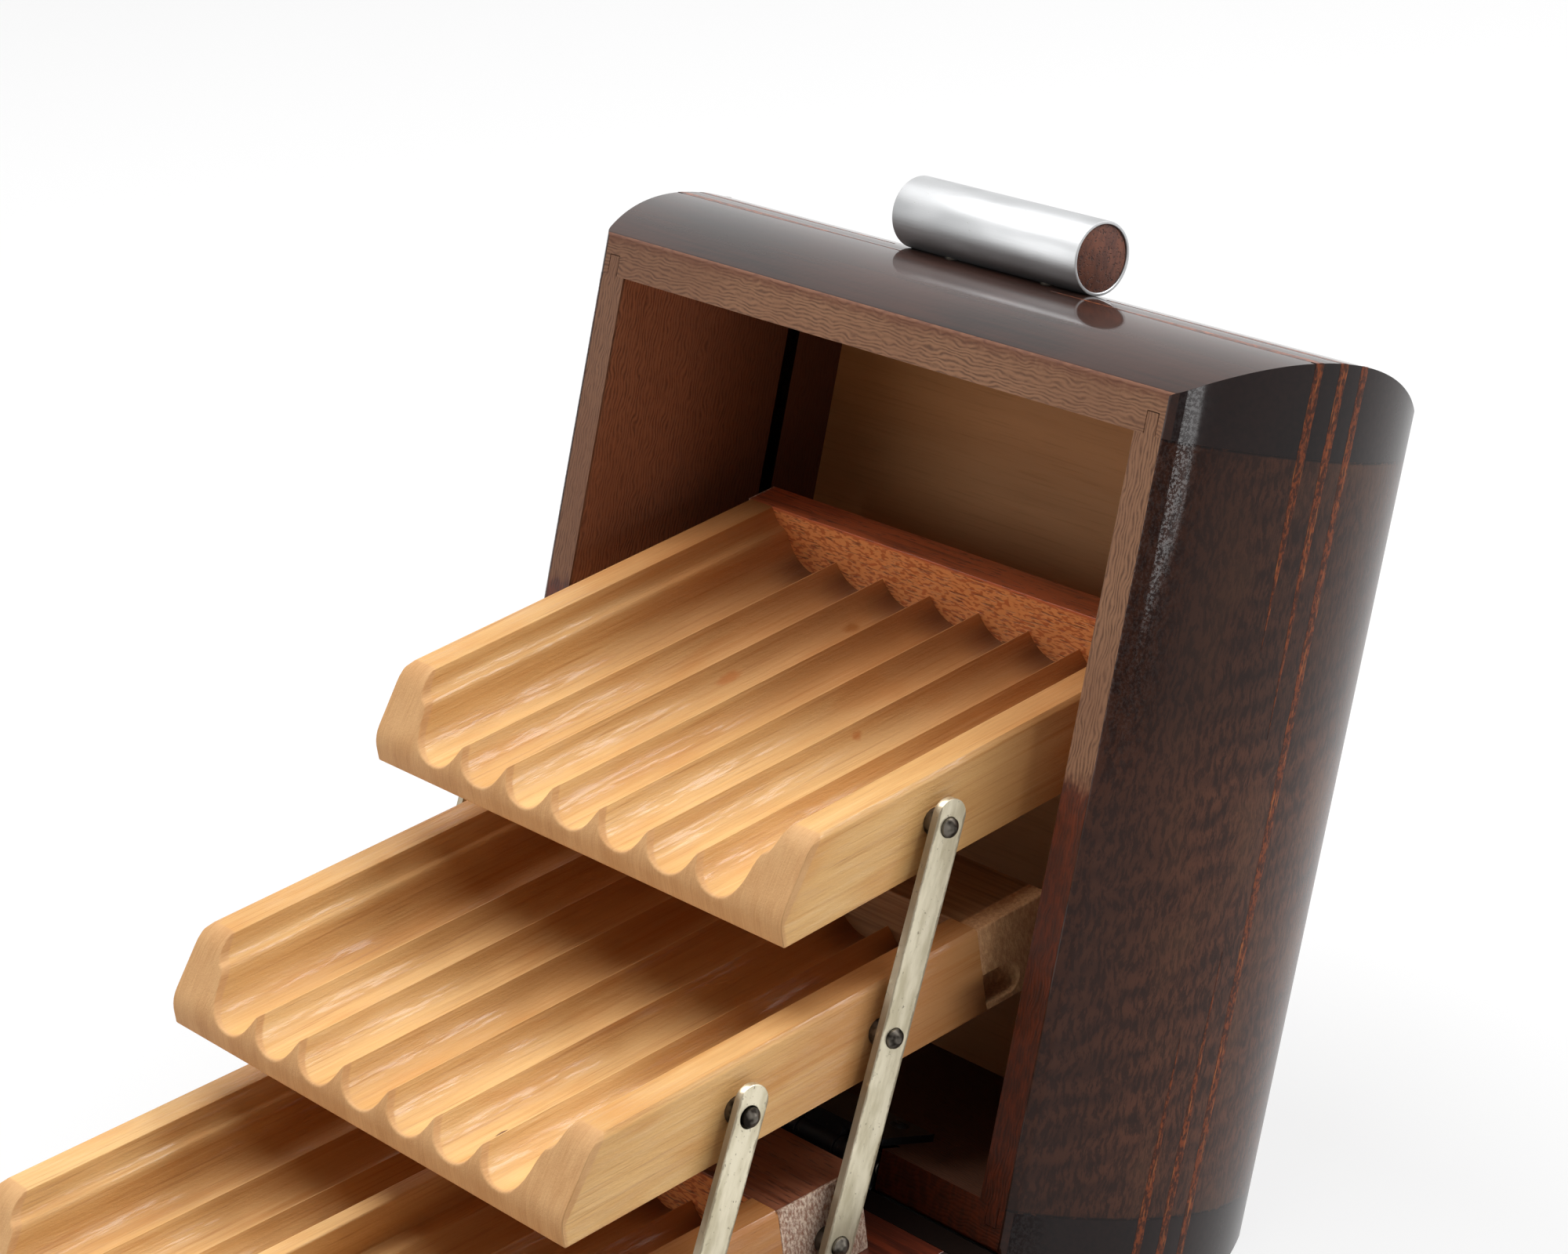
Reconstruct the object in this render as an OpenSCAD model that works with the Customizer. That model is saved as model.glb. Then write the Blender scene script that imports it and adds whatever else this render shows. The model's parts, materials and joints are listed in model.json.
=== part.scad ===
// Cigarette box: opening the lid on its back hinge raises three grooved trays on swinging bars.
// Millimetres. Z is up, -Y is the front, the origin is the middle of the base's underside.
// The trays, the bars and the lid are drawn in the open position.

/* [Box] */
// Outside width of the lid at its rim
box_w = 108.14; // [107:0.1:112]
// Outside depth of the lid at its rim, front to back
box_d = 106.8; // [105.8:0.1:110]
// Thickness of the side walls at the rim
side_t = 5.3; // [4.8:0.1:5.4]
// Thickness of the front and back walls at the rim
end_t = 5.4; // [4.8:0.1:5.6]
// Height of the base
base_h = 17.5; // [16:0.1:20]
// Height of the lid from rim to top
lid_h = 43.9; // [43.8:0.1:48]
// How far the lid's faces swell outward at mid height
bulge = 6.4; // [4.5:0.1:7]
// Thickness of the lid's top panel
panel_t = 1.9; // [1.6:0.1:2]
// Gap between the closed lid's rim and the base
rim_gap = 0.25; // [0.2:0.05:0.5]
// How far the lid is open, measured from closed
open_angle = 111.46;

/* [Trays] */
// Width of each tray
tray_w = 82.25; // [80:0.25:84]
// Height of the trays' side walls
tray_h = 11.48; // [11:0.1:11.6]
// Distance between neighbouring grooves
pitch = 9.5; // [9.3:0.05:9.6]
// Radius of the grooves
groove_r = 4.87; // [4.85:0.01:4.95]
// Wood left under each groove
floor_t = 2.5; // [2:0.1:3]
// Length of the grooved boards
board_l = 66.5; // [66:0.1:67]
// Width of the strip that divides the bottom tray
strip_w = 2.9; // [2:0.1:4]
// Length of the block behind the bottom tray's board
bottom_block_l = 13; // [12:0.1:14]
// Length of the block behind the middle tray's board
middle_block_l = 12; // [11:0.1:12.2]
// Length of the block behind the top tray's board
top_block_l = 6.6; // [6:0.1:6.7]
// Upward tilt of the open top tray towards the back
top_tilt = 2.81;
// Upward tilt of the open middle tray towards the back
mid_tilt = 1.6;

/* [Bars] */
// Width of the swinging bars
bar_w = 4.5; // [4:0.1:5]
// Thickness of the swinging bars
bar_t = 1.05; // [0.8:0.05:1.2]
// Distance between neighbouring pins on the long bars
bar_pitch = 26.39;
// Slope of the open long bars
bar_angle = 63.5;
// How much closer together the pins of the short bars are
short_less = 0.231;
// Slope of the open short bars
short_angle = 62.428;
// Diameter of the pins where the bars turn on them
pin_d = 2.5; // [2.2:0.1:2.6]
// Running clearance around a long bar's pin, on the radius
pin_gap = 0.08; // [0.05:0.01:0.1]
// Clearance around a short bar's pin, on the radius
loose_gap = 0.18; // [0.15:0.01:0.2]

/* [Handle] */
// Length of the handle
handle_l = 34.6; // [28:0.2:60]
// Outside diameter of the handle
handle_d = 9.7; // [8:0.1:12]
// Wall thickness of the handle's tube
handle_wall = 0.45; // [0.3:0.05:1]

/* [Hinges] */
// Length of each hinge
hinge_l = 22; // [16:0.5:26]
// Distance between the middles of the two hinges
hinge_span = 38; // [34:1:50]
// Diameter of the hinge barrels
barrel_d = 3.6; // [3.2:0.1:3.8]
// Diameter of the hinge pins
hinge_pin_d = 1.6; // [1.2:0.1:1.8]
// Running clearance around the hinge pins, on the radius
hinge_gap = 0.05; // [0.02:0.01:0.08]

/* [Inlay] */
// Width of the inlaid lines on the lid
line_w = 1.0; // [0.6:0.1:1.4]
// Depth of the inlaid lines
line_depth = 0.8; // [0.5:0.1:1.2]

/* [Hidden] */
$fn = 96;
eps = 0.01;

// lid, in its closed position
rim_z = base_h + rim_gap;
top_z = rim_z + lid_h;
hx = box_w / 2;
hy = box_d / 2;
swell_r = (pow(lid_h / 2, 2) + pow(bulge, 2)) / (2 * bulge);
panel_in = 2.5;
track_z = 31.3;
track_w = 2.2;
track_d = 2.4;
line_z = [17.2, 21.3, 25.2];

// hinge axis
axis_y = hy - 2.53;
axis_z = base_h + 1.35;

// bevel along the back edge of the base
bevel_a = 56;
bevel_y = hy - 5.53;

// base
base_bulge = 0.86;
deck_t = 4;
bottom_t = 3;
back_t = 9;

// pins, in the open position
tray_y = -40.73;
short_l = bar_pitch - short_less;
a_pin = [tray_y + board_l + 6.6, base_h + 4.49];
e_pin = [tray_y + board_l - 16.512, base_h + 4.485];
b_pin = a_pin + bar_pitch * [cos(bar_angle), sin(bar_angle)];
c_pin = a_pin + 2 * bar_pitch * [cos(bar_angle), sin(bar_angle)];
b_in_tray = [board_l - 17.1, 5.3];
d_in_tray = [board_l - 39.8, 5.5];
c_in_tray = [board_l - 41.5, 5.6];
stud_at = [board_l + 3.5, 3.4];
bar_x = tray_w / 2 + 1.63;
shoulder_gap = 0.1;
shank_d = 2.2;
shank_l = 6;

// notch in the sides of the middle tray's block
notch_w = 4;
notch_l = 5.8;
notch_z = 2.9;
notch_d = 3;

// fronts of the trays: a curve, a straight slope and a second curve over the top
front_r = 4.5;
front_z = 1.9;
front_a = 40;
slope_z = tray_h - 1.88;
over_a = 72;
over_r = (tray_h - slope_z) / (sin(over_a) - sin(front_a));

// crests between the grooves
crest_cut = 0.5;
ridge_z = floor_t + groove_r - sqrt(pow(groove_r, 2) - pow(pitch / 2, 2)) - crest_cut;

// hinge leaves
leaf_t = 1;
leaf_l = 8.5;
knuckle = hinge_l / 3;
leaf_screw_d = 1.4;
leaf_screws = [-7, 7];

// handle
handle_y = -(hy + bulge + handle_d / 2);
handle_z = rim_z + lid_h / 2;
screw_d = 2.4;
screw_x = [-9, 9];

// a box given by its lowest and highest corners
module span(p, q) { translate(p) cube(q - p); }

// a round bar along X from x0 to x1 at y, z
module rod(d, x0, x1, y, z) {
    translate([x0, y, z]) rotate([0, 90, 0]) cylinder(d = d, h = x1 - x0);
}

// a body that swells on its left and right faces
module swollen(half, len, z0, h, rise) {
    r = (pow(h / 2, 2) + pow(rise, 2)) / (2 * rise);
    translate([-half, -len, z0]) cube([2 * half, 2 * len, h]);
    for (s = [-1, 1]) intersection() {
        translate([s * (half + rise - r), len, z0 + h / 2]) rotate([90, 0, 0])
            cylinder(r = r, h = 2 * len, $fn = 180);
        translate([s > 0 ? half - 1 : -half - rise - 1, -len, z0]) cube([rise + 2, 2 * len, h]);
    }
}

module pillow(z0, h, rise) {
    intersection() {
        swollen(hx, hy + rise + 1, z0, h, rise);
        rotate([0, 0, 90]) swollen(hy, hx + rise + 1, z0, h, rise);
    }
}

// ---- base ----

module base_outer() {
    difference() {
        pillow(0, base_h, base_bulge);
        bevel() span([-hx - 5, -5, 0], [hx + 5, 30, 20]);
    }
}

// frame of the bevel: y down the slope, z out of it
module bevel() { translate([0, bevel_y, base_h]) rotate([-bevel_a, 0, 0]) children(); }

module base_front_wall() {
    color("#2a1710") intersection() {
        base_outer();
        span([-hx - 5, -hy - 5, -1], [hx + 5, -hy + end_t, base_h + 1]);
    }
}

module base_back_wall() {
    color("#2a1710") difference() {
        intersection() {
            base_outer();
            span([-hx - 5, hy - back_t, -1], [hx + 5, hy + 5, base_h + 1]);
        }
        bevel() for (s = [-1, 1]) {
            span([s * hinge_span / 2 - hinge_l / 2, -3, -leaf_t],
                 [s * hinge_span / 2 + hinge_l / 2, leaf_l + 0.7, 3]);
            for (x = leaf_screws) translate([s * hinge_span / 2 + x, 6.4, -6])
                cylinder(d = leaf_screw_d, h = 8, $fn = 32);
        }
    }
}

module base_side_wall(s) {
    intersection() {
        base_outer();
        span([s > 0 ? hx - side_t : -hx - 5, -hy + end_t, -1],
             [s > 0 ? hx + 5 : -hx + side_t, hy - back_t, base_h + 1]);
    }
}

module base_left_wall() { color("#2a1710") base_side_wall(-1); }
module base_right_wall() { color("#2a1710") base_side_wall(1); }

module base_deck() {
    color("#a8401c") span([-hx + side_t, -hy + end_t, base_h - deck_t],
                          [hx - side_t, hy - back_t, base_h]);
}

module base_bottom_board() {
    color("#b08a5c") span([-hx + side_t, -hy + end_t, 0], [hx - side_t, hy - back_t, bottom_t]);
}

// ---- hinges ----

// foot of the hinge axis in the bevel's frame
foot = [cos(bevel_a) * (axis_y - bevel_y) - sin(bevel_a) * (axis_z - base_h),
        sin(bevel_a) * (axis_y - bevel_y) + cos(bevel_a) * (axis_z - base_h)];

module base_hinge_leaves() {
    color("#161617") bevel() for (s = [-1, 1]) translate([s * hinge_span / 2, 0, 0])
        difference() {
            union() {
                span([-hinge_l / 2, foot[0] - 0.9, -leaf_t], [hinge_l / 2, leaf_l + 0.7, 0]);
                for (k = [-1, 1]) {
                    x0 = k * (hinge_l - knuckle) / 2 - knuckle / 2 + (k > 0 ? 0.15 : 0);
                    x1 = x0 + knuckle - 0.15;
                    span([x0, foot[0] - 0.9, -leaf_t / 2], [x1, foot[0] + 0.9, foot[1]]);
                    rod(barrel_d, x0, x1, foot[0], foot[1]);
                }
            }
            rod(hinge_pin_d + 2 * hinge_gap, -hinge_l, hinge_l, foot[0], foot[1]);
            for (x = leaf_screws) translate([x, 6.4, -6]) cylinder(d = leaf_screw_d, h = 8, $fn = 32);
        }
}

module base_hinge_screws() {
    color("#202022") bevel() for (s = [-1, 1]) for (x = leaf_screws)
        translate([s * hinge_span / 2 + x, 6.4, 0]) {
            translate([0, 0, -6]) cylinder(d = leaf_screw_d, h = 6.2, $fn = 32);
            cylinder(d1 = 2.8, d2 = 1.8, h = 0.45, $fn = 32);
        }
}

module hinge_pins() {
    color("#3a3a3c") for (s = [-1, 1]) translate([s * hinge_span / 2, 0, 0]) {
        rod(hinge_pin_d, -hinge_l / 2 - 0.4, hinge_l / 2 + 0.4, axis_y, axis_z);
        for (k = [-1, 1])
            rod(2.6, k > 0 ? hinge_l / 2 + 0.15 : -hinge_l / 2 - 0.55,
                k > 0 ? hinge_l / 2 + 0.55 : -hinge_l / 2 - 0.15, axis_y, axis_z);
    }
}

module open_lid() {
    translate([0, axis_y, axis_z]) rotate([-open_angle, 0, 0]) translate([0, -axis_y, -axis_z])
        children();
}

module lid_hinge_leaves() {
    yi = hy - end_t;
    color("#161617") open_lid() for (s = [-1, 1]) translate([s * hinge_span / 2, 0, 0])
        difference() {
            union() {
                span([-hinge_l / 2, yi - leaf_t, axis_z - leaf_t / 2],
                     [hinge_l / 2, yi, axis_z + leaf_l]);
                span([-knuckle / 2 + 0.15, yi - leaf_t / 2, axis_z - leaf_t / 2],
                     [knuckle / 2 - 0.15, axis_y, axis_z + leaf_t / 2]);
                rod(barrel_d, -knuckle / 2 + 0.15, knuckle / 2 - 0.15, axis_y, axis_z);
            }
            rod(hinge_pin_d + 2 * hinge_gap, -hinge_l, hinge_l, axis_y, axis_z);
            for (x = leaf_screws) translate([x, yi - 2, axis_z + 6]) rotate([-90, 0, 0])
                cylinder(d = leaf_screw_d, h = 6, $fn = 32);
        }
}

module lid_hinge_screws() {
    yi = hy - end_t;
    color("#202022") open_lid() for (s = [-1, 1]) for (x = leaf_screws)
        translate([s * hinge_span / 2 + x, yi - leaf_t, axis_z + 6]) rotate([-90, 0, 0]) {
            translate([0, 0, -0.2]) cylinder(d = leaf_screw_d, h = 5, $fn = 32);
            translate([0, 0, -0.45]) cylinder(d1 = 1.8, d2 = 2.8, h = 0.45, $fn = 32);
        }
}

// ---- trays ----

module in_bottom_tray() { translate([0, tray_y, base_h]) children(); }

module on_pin(p, at, tilt) {
    translate([0, p[0], p[1]]) rotate([tilt, 0, 0]) translate([0, -at[0], -at[1]]) children();
}

module in_middle_tray() { on_pin(b_pin, b_in_tray, mid_tilt) children(); }
module in_top_tray() { on_pin(c_pin, c_in_tray, top_tilt) children(); }

// side view of a board: rounded front leaning back, square rear
module board_side() {
    y1 = front_r * (1 - cos(front_a));
    z1 = front_z + front_r * sin(front_a);
    y2 = y1 + (slope_z - z1) * tan(front_a);
    rotate([90, 0, 90]) translate([0, 0, -tray_w / 2]) linear_extrude(tray_w)
        polygon(concat([[0, 0]],
            [for (a = [0 : front_a / 5 : front_a + eps])
                [front_r * (1 - cos(a)), front_z + front_r * sin(a)]],
            [for (a = [front_a : (over_a - front_a) / 5 : over_a + eps])
                [y2 + over_r * (cos(front_a) - cos(a)), slope_z + over_r * (sin(a) - sin(front_a))]],
            [[board_l, tray_h], [board_l, 0]]));
}

// end view of the trough between the side walls, above the groove centres
module trough() {
    xo = 3 * pitch + groove_r * sin(62);
    zo = floor_t + groove_r * (1 - cos(62));
    translate([0, board_l + 1, 0]) rotate([90, 0, 0]) linear_extrude(board_l + 2)
        polygon([[-xo, zo], [-xo - 3.1, tray_h + 0.1], [xo + 3.1, tray_h + 0.1], [xo, zo],
                 [3 * pitch, ridge_z], [-3 * pitch, ridge_z]]);
}

module grooves(list) {
    for (i = list) translate([i * pitch, board_l + 1, floor_t + groove_r]) rotate([90, 0, 0])
        cylinder(r = groove_r, h = board_l + 2);
}

module edge_chamfers(y0, y1) {
    for (s = [-1, 1]) translate([s * tray_w / 2, (y0 + y1) / 2, tray_h])
        rotate([0, 45, 0]) cube([0.8, y1 - y0 + 1, 0.8], center = true);
}

module board(list) {
    difference() {
        board_side();
        trough();
        grooves(list);
        edge_chamfers(-1, board_l + 1);
    }
}

// hole for a pin's shank in both sides of a tray
module pin_holes(y, z) {
    for (s = [-1, 1]) rod(shank_d, s > 0 ? tray_w / 2 - shank_l : -tray_w / 2 - 1,
                          s > 0 ? tray_w / 2 + 1 : -tray_w / 2 + shank_l, y, z);
}

// a shouldered pin in both sides of a tray
module pins(y, z) {
    for (s = [-1, 1]) scale([s, 1, 1]) {
        rod(shank_d, tray_w / 2 - shank_l, tray_w / 2 + 0.2, y, z);
        rod(3.6, tray_w / 2, bar_x - shoulder_gap, y, z);
        rod(pin_d, bar_x - shoulder_gap - 0.2, bar_x + bar_t + 0.35, y, z);
        translate([bar_x + bar_t + 0.35, y, z]) rotate([0, 90, 0])
            cylinder(d1 = pin_d, d2 = 0.8, h = 0.6);
    }
}

module bottom_tray_board() {
    color("#dcb27a") in_bottom_tray() difference() {
        board([-3, -2, -1, 1, 2, 3]);
        span([-strip_w / 2, -1, ridge_z - 1.5], [strip_w / 2, board_l + 1, ridge_z + 1]);
        pin_holes(e_pin[0] - tray_y, e_pin[1] - base_h);
    }
}

module bottom_tray_divider() {
    color("#dcb27a") in_bottom_tray() intersection() {
        board_side();
        span([-strip_w / 2, -1, ridge_z - 1.5], [strip_w / 2, board_l, tray_h - 0.5]);
    }
}

module bottom_tray_block() {
    color("#6a2f1c") in_bottom_tray() difference() {
        span([-tray_w / 2, board_l, 0], [tray_w / 2, board_l + bottom_block_l, tray_h]);
        pin_holes(a_pin[0] - tray_y, a_pin[1] - base_h);
    }
}

module bottom_tray_pins() {
    color("#4a4a4c") {
        pins(a_pin[0], a_pin[1]);
        pins(e_pin[0], e_pin[1]);
    }
}

module middle_tray_board() {
    color("#dcb27a") in_middle_tray() difference() {
        board([-3 : 3]);
        pin_holes(b_in_tray[0], b_in_tray[1]);
        pin_holes(d_in_tray[0], d_in_tray[1]);
    }
}

module middle_tray_block() {
    color("#cfa873") in_middle_tray() difference() {
        span([-tray_w / 2, board_l, 0], [tray_w / 2, board_l + middle_block_l, tray_h]);
        for (s = [-1, 1]) {
            rod(notch_w, s > 0 ? tray_w / 2 - notch_d : -tray_w / 2 - 1,
                s > 0 ? tray_w / 2 + 1 : -tray_w / 2 + notch_d, board_l + notch_l - notch_w / 2, notch_z);
            translate([s * tray_w / 2, board_l + (notch_l - notch_w / 2 - 1) / 2, notch_z])
                cube([2 * notch_d, notch_l - notch_w / 2 + 1, notch_w], center = true);
        }
    }
}

module middle_tray_pins() {
    color("#4a4a4c") in_middle_tray() {
        pins(b_in_tray[0], b_in_tray[1]);
        pins(d_in_tray[0], d_in_tray[1]);
    }
}

module top_tray_board() {
    color("#dcb27a") in_top_tray() difference() {
        board([-3 : 3]);
        pin_holes(c_in_tray[0], c_in_tray[1]);
    }
}

module top_tray_block() {
    y1 = board_l + top_block_l;
    color("#6a2f1c") in_top_tray() difference() {
        rotate([90, 0, 90]) translate([0, 0, -tray_w / 2]) linear_extrude(tray_w)
            polygon([[board_l, 0], [y1 - 3.3, 0], [y1, tray_h / 2], [y1, tray_h - 2.5],
                     [y1 - 0.7, tray_h - 0.9], [y1 - 2, tray_h], [board_l, tray_h]]);
        pin_holes(stud_at[0], stud_at[1]);
    }
}

module top_tray_pins() {
    color("#4a4a4c") in_top_tray() pins(c_in_tray[0], c_in_tray[1]);
}

module top_tray_studs() {
    color("#4a4a4c") in_top_tray() for (s = [-1, 1]) scale([s, 1, 1])
        rod(shank_d, tray_w / 2 - shank_l, hx - side_t - 0.3, stud_at[0], stud_at[1]);
}

// ---- bars ----

// a bar with round ends, its first pin at the origin and its length along Y
module bar(s, len, over, holes, gap) {
    x0 = s > 0 ? bar_x : -bar_x - bar_t;
    difference() {
        union() {
            rod(bar_w, x0, x0 + bar_t, -over, 0);
            rod(bar_w, x0, x0 + bar_t, len + over, 0);
            span([x0, -over, -bar_w / 2], [x0 + bar_t, len + over, bar_w / 2]);
        }
        for (y = holes) rod(pin_d + 2 * gap, x0 - 1, x0 + bar_t + 1, y, 0);
    }
}

module long_bar(s) {
    translate([0, a_pin[0], a_pin[1]]) rotate([bar_angle, 0, 0])
        bar(s, 2 * bar_pitch, 1.3, [0, bar_pitch, 2 * bar_pitch], pin_gap);
}

module short_bar(s) {
    translate([0, e_pin[0], e_pin[1]]) rotate([short_angle, 0, 0])
        bar(s, short_l, 1.8, [0, short_l], loose_gap);
}

module left_long_bar() { color("#c9c2ad") long_bar(-1); }
module right_long_bar() { color("#c9c2ad") long_bar(1); }
module left_short_bar() { color("#c9c2ad") short_bar(-1); }
module right_short_bar() { color("#c9c2ad") short_bar(1); }

// ---- lid, drawn closed and then turned open ----

module lid_outer() { pillow(rim_z, lid_h, bulge); }

// rabbet that takes the top panel
module panel_seat() {
    span([-hx + side_t - panel_in, -hy + end_t - panel_in, top_z - panel_t],
         [hx - side_t + panel_in, hy - end_t + panel_in, top_z + 1]);
}

// tongues on the ends of the side walls
module tongues() {
    for (s = [-1, 1]) for (e = [-1, 1])
        span([s > 0 ? hx - side_t + 1.6 : -hx + side_t - 3.4, e > 0 ? hy - end_t - 0.1 : -hy + end_t - 2.7,
              rim_z], [s > 0 ? hx - side_t + 3.4 : -hx + side_t - 1.6,
              e > 0 ? hy - end_t + 2.7 : -hy + end_t + 0.1, top_z - panel_t]);
}

// the swell of a face at height w above the rim
function swell(w) = bulge - swell_r + sqrt(pow(swell_r, 2) - pow(w - lid_h / 2, 2));

// inlaid lines round each corner, pointed at their ends, and one full line on each side
module line_cut() {
    ends_side = [29, 40];
    ends_front = [40, 34];
    for (i = [0, 1]) {
        z = rim_z + line_z[i];
        x = hx + swell(line_z[i]);
        y = hy + swell(line_z[i]);
        for (s = [-1, 1]) for (e = [-1, 1]) scale([s, e, 1]) {
            rotate([90, 0, 90]) translate([0, 0, x - line_depth]) linear_extrude(4)
                polygon([[y + 2, z - line_w / 2], [hy - ends_side[i] / 2, z - line_w / 2],
                         [hy - ends_side[i], z], [hy - ends_side[i] / 2, z + line_w / 2],
                         [y + 2, z + line_w / 2]]);
            translate([0, y - line_depth + 4, 0]) rotate([90, 0, 0]) linear_extrude(4)
                polygon([[x + 2, z - line_w / 2], [hx - ends_front[i] / 2, z - line_w / 2],
                         [hx - ends_front[i], z], [hx - ends_front[i] / 2, z + line_w / 2],
                         [x + 2, z + line_w / 2]]);
        }
    }
    for (s = [-1, 1]) {
        z = rim_z + line_z[2];
        x = hx + swell(line_z[2]);
        span([s > 0 ? x - line_depth : -x - 2, -hy - bulge, z - line_w / 2],
             [s > 0 ? x + 2 : -x + line_depth, hy + bulge, z + line_w / 2]);
    }
}

module lid_front_wall() {
    color("#2a1710") open_lid() difference() {
        intersection() {
            lid_outer();
            span([-hx - 9, -hy - 9, rim_z - 1], [hx + 9, -hy + end_t, top_z + 1]);
        }
        panel_seat();
        tongues();
        line_cut();
        for (x = screw_x) translate([x, 0, handle_z]) rotate([90, 0, 0]) {
            translate([0, 0, hy - end_t - 1]) cylinder(d = screw_d + 0.1, h = 20, $fn = 32);
            translate([0, 0, hy - end_t - eps]) cylinder(d1 = 5, d2 = screw_d + 0.2, h = 1.4, $fn = 32);
        }
    }
}

module lid_back_wall() {
    color("#2a1710") open_lid() difference() {
        intersection() {
            lid_outer();
            span([-hx - 9, hy - end_t, rim_z - 1], [hx + 9, hy + 9, top_z + 1]);
        }
        panel_seat();
        tongues();
        line_cut();
        for (s = [-1, 1]) {
            span([s * hinge_span / 2 - hinge_l / 2 - 0.8, hy - end_t - 1, rim_z - 1],
                 [s * hinge_span / 2 + hinge_l / 2 + 0.8, hy + 9, axis_z + barrel_d / 2 + 0.35]);
            for (x = leaf_screws) translate([s * hinge_span / 2 + x, hy - end_t - 1, axis_z + 6])
                rotate([-90, 0, 0]) cylinder(d = leaf_screw_d, h = 4.8, $fn = 32);
        }
    }
}

module lid_side_wall(s) {
    difference() {
        intersection() {
            lid_outer();
            union() {
                span([s > 0 ? hx - side_t : -hx - 9, -hy + end_t, rim_z - 1],
                     [s > 0 ? hx + 9 : -hx + side_t, hy - end_t, top_z + 1]);
                tongues();
            }
            span([s > 0 ? 0 : -hx - 9, -hy, rim_z - 1], [s > 0 ? hx + 9 : 0, hy, top_z + 1]);
        }
        panel_seat();
        line_cut();
        // track along the inside of the wall
        span([s > 0 ? hx - side_t - 1 : -hx + side_t - track_d, -hy + end_t, rim_z + track_z],
             [s > 0 ? hx - side_t + track_d : -hx + side_t + 1, hy - end_t, rim_z + track_z + track_w]);
    }
}

module lid_left_wall() { color("#3a2013") open_lid() lid_side_wall(-1); }
module lid_right_wall() { color("#3a2013") open_lid() lid_side_wall(1); }

module lid_top_panel() {
    color("#8a6a42") open_lid()
        span([-hx + side_t - panel_in, -hy + end_t - panel_in, top_z - panel_t],
             [hx - side_t + panel_in, hy - end_t + panel_in, top_z]);
}

module lid_inlay_lines() {
    color("#b5401f") open_lid() intersection() {
        lid_outer();
        line_cut();
    }
}

// ---- handle ----

module handle_tube() {
    color("#c9c9c4") open_lid() difference() {
        rod(handle_d, -handle_l / 2, handle_l / 2, handle_y, handle_z);
        rod(handle_d - 2 * handle_wall, -handle_l / 2 - 1, handle_l / 2 + 1, handle_y, handle_z);
        for (x = screw_x) translate([x, handle_y, handle_z]) rotate([-90, 0, 0])
            cylinder(d = screw_d + 0.1, h = handle_d, $fn = 32);
    }
}

module handle_core() {
    color("#7a4a3c") open_lid() difference() {
        rod(handle_d - 2 * handle_wall, -handle_l / 2 + 0.15, handle_l / 2 - 0.15, handle_y, handle_z);
        for (x = screw_x) translate([x, handle_y - 2, handle_z]) rotate([-90, 0, 0])
            cylinder(d = screw_d, h = handle_d, $fn = 32);
    }
}

module handle_screws() {
    color("#8a8a86") open_lid() for (x = screw_x)
        translate([x, -hy + end_t, handle_z]) rotate([90, 0, 0]) {
            cylinder(d = screw_d, h = -hy + end_t - handle_y + 2, $fn = 32);
            cylinder(d1 = 4.8, d2 = screw_d, h = 1.4, $fn = 32);
        }
}

base_front_wall();
base_back_wall();
base_left_wall();
base_right_wall();
base_deck();
base_bottom_board();
base_hinge_leaves();
base_hinge_screws();
hinge_pins();
bottom_tray_board();
bottom_tray_divider();
bottom_tray_block();
bottom_tray_pins();
middle_tray_board();
middle_tray_block();
middle_tray_pins();
top_tray_board();
top_tray_block();
top_tray_pins();
top_tray_studs();
left_long_bar();
right_long_bar();
left_short_bar();
right_short_bar();
lid_front_wall();
lid_back_wall();
lid_left_wall();
lid_right_wall();
lid_top_panel();
lid_inlay_lines();
lid_hinge_leaves();
lid_hinge_screws();
handle_tube();
handle_core();
handle_screws();
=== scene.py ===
import json
import math
import random

import bmesh
import bpy
from mathutils import Matrix, Vector


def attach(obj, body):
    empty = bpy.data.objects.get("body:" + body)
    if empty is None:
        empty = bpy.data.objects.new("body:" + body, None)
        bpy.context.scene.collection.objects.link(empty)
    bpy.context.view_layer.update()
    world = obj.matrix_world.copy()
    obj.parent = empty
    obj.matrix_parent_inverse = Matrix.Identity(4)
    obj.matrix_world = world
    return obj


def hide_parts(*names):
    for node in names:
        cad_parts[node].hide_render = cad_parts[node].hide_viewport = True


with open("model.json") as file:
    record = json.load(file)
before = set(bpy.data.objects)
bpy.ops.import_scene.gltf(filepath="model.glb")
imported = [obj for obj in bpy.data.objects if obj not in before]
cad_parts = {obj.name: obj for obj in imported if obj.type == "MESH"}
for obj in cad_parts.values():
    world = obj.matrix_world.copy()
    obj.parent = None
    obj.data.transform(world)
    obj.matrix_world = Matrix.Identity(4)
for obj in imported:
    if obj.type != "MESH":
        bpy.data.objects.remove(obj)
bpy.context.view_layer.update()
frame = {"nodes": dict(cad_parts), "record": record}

# ---- base walls ----
# Four boards of stained beech under thick, dark gloss lacquer. The sides carry a mottled
# veneer between the end boards, and the back board is bevelled so that the lid can lean back.
MM, TO_MM = 0.001, 1000
BOX_W, BOX_D, BASE_H = 108.14, 106.8, 17.5
END_T = 5.4
HALF_X, HALF_Y = BOX_W / 2, BOX_D / 2
ON_TABLE = Matrix()


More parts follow.
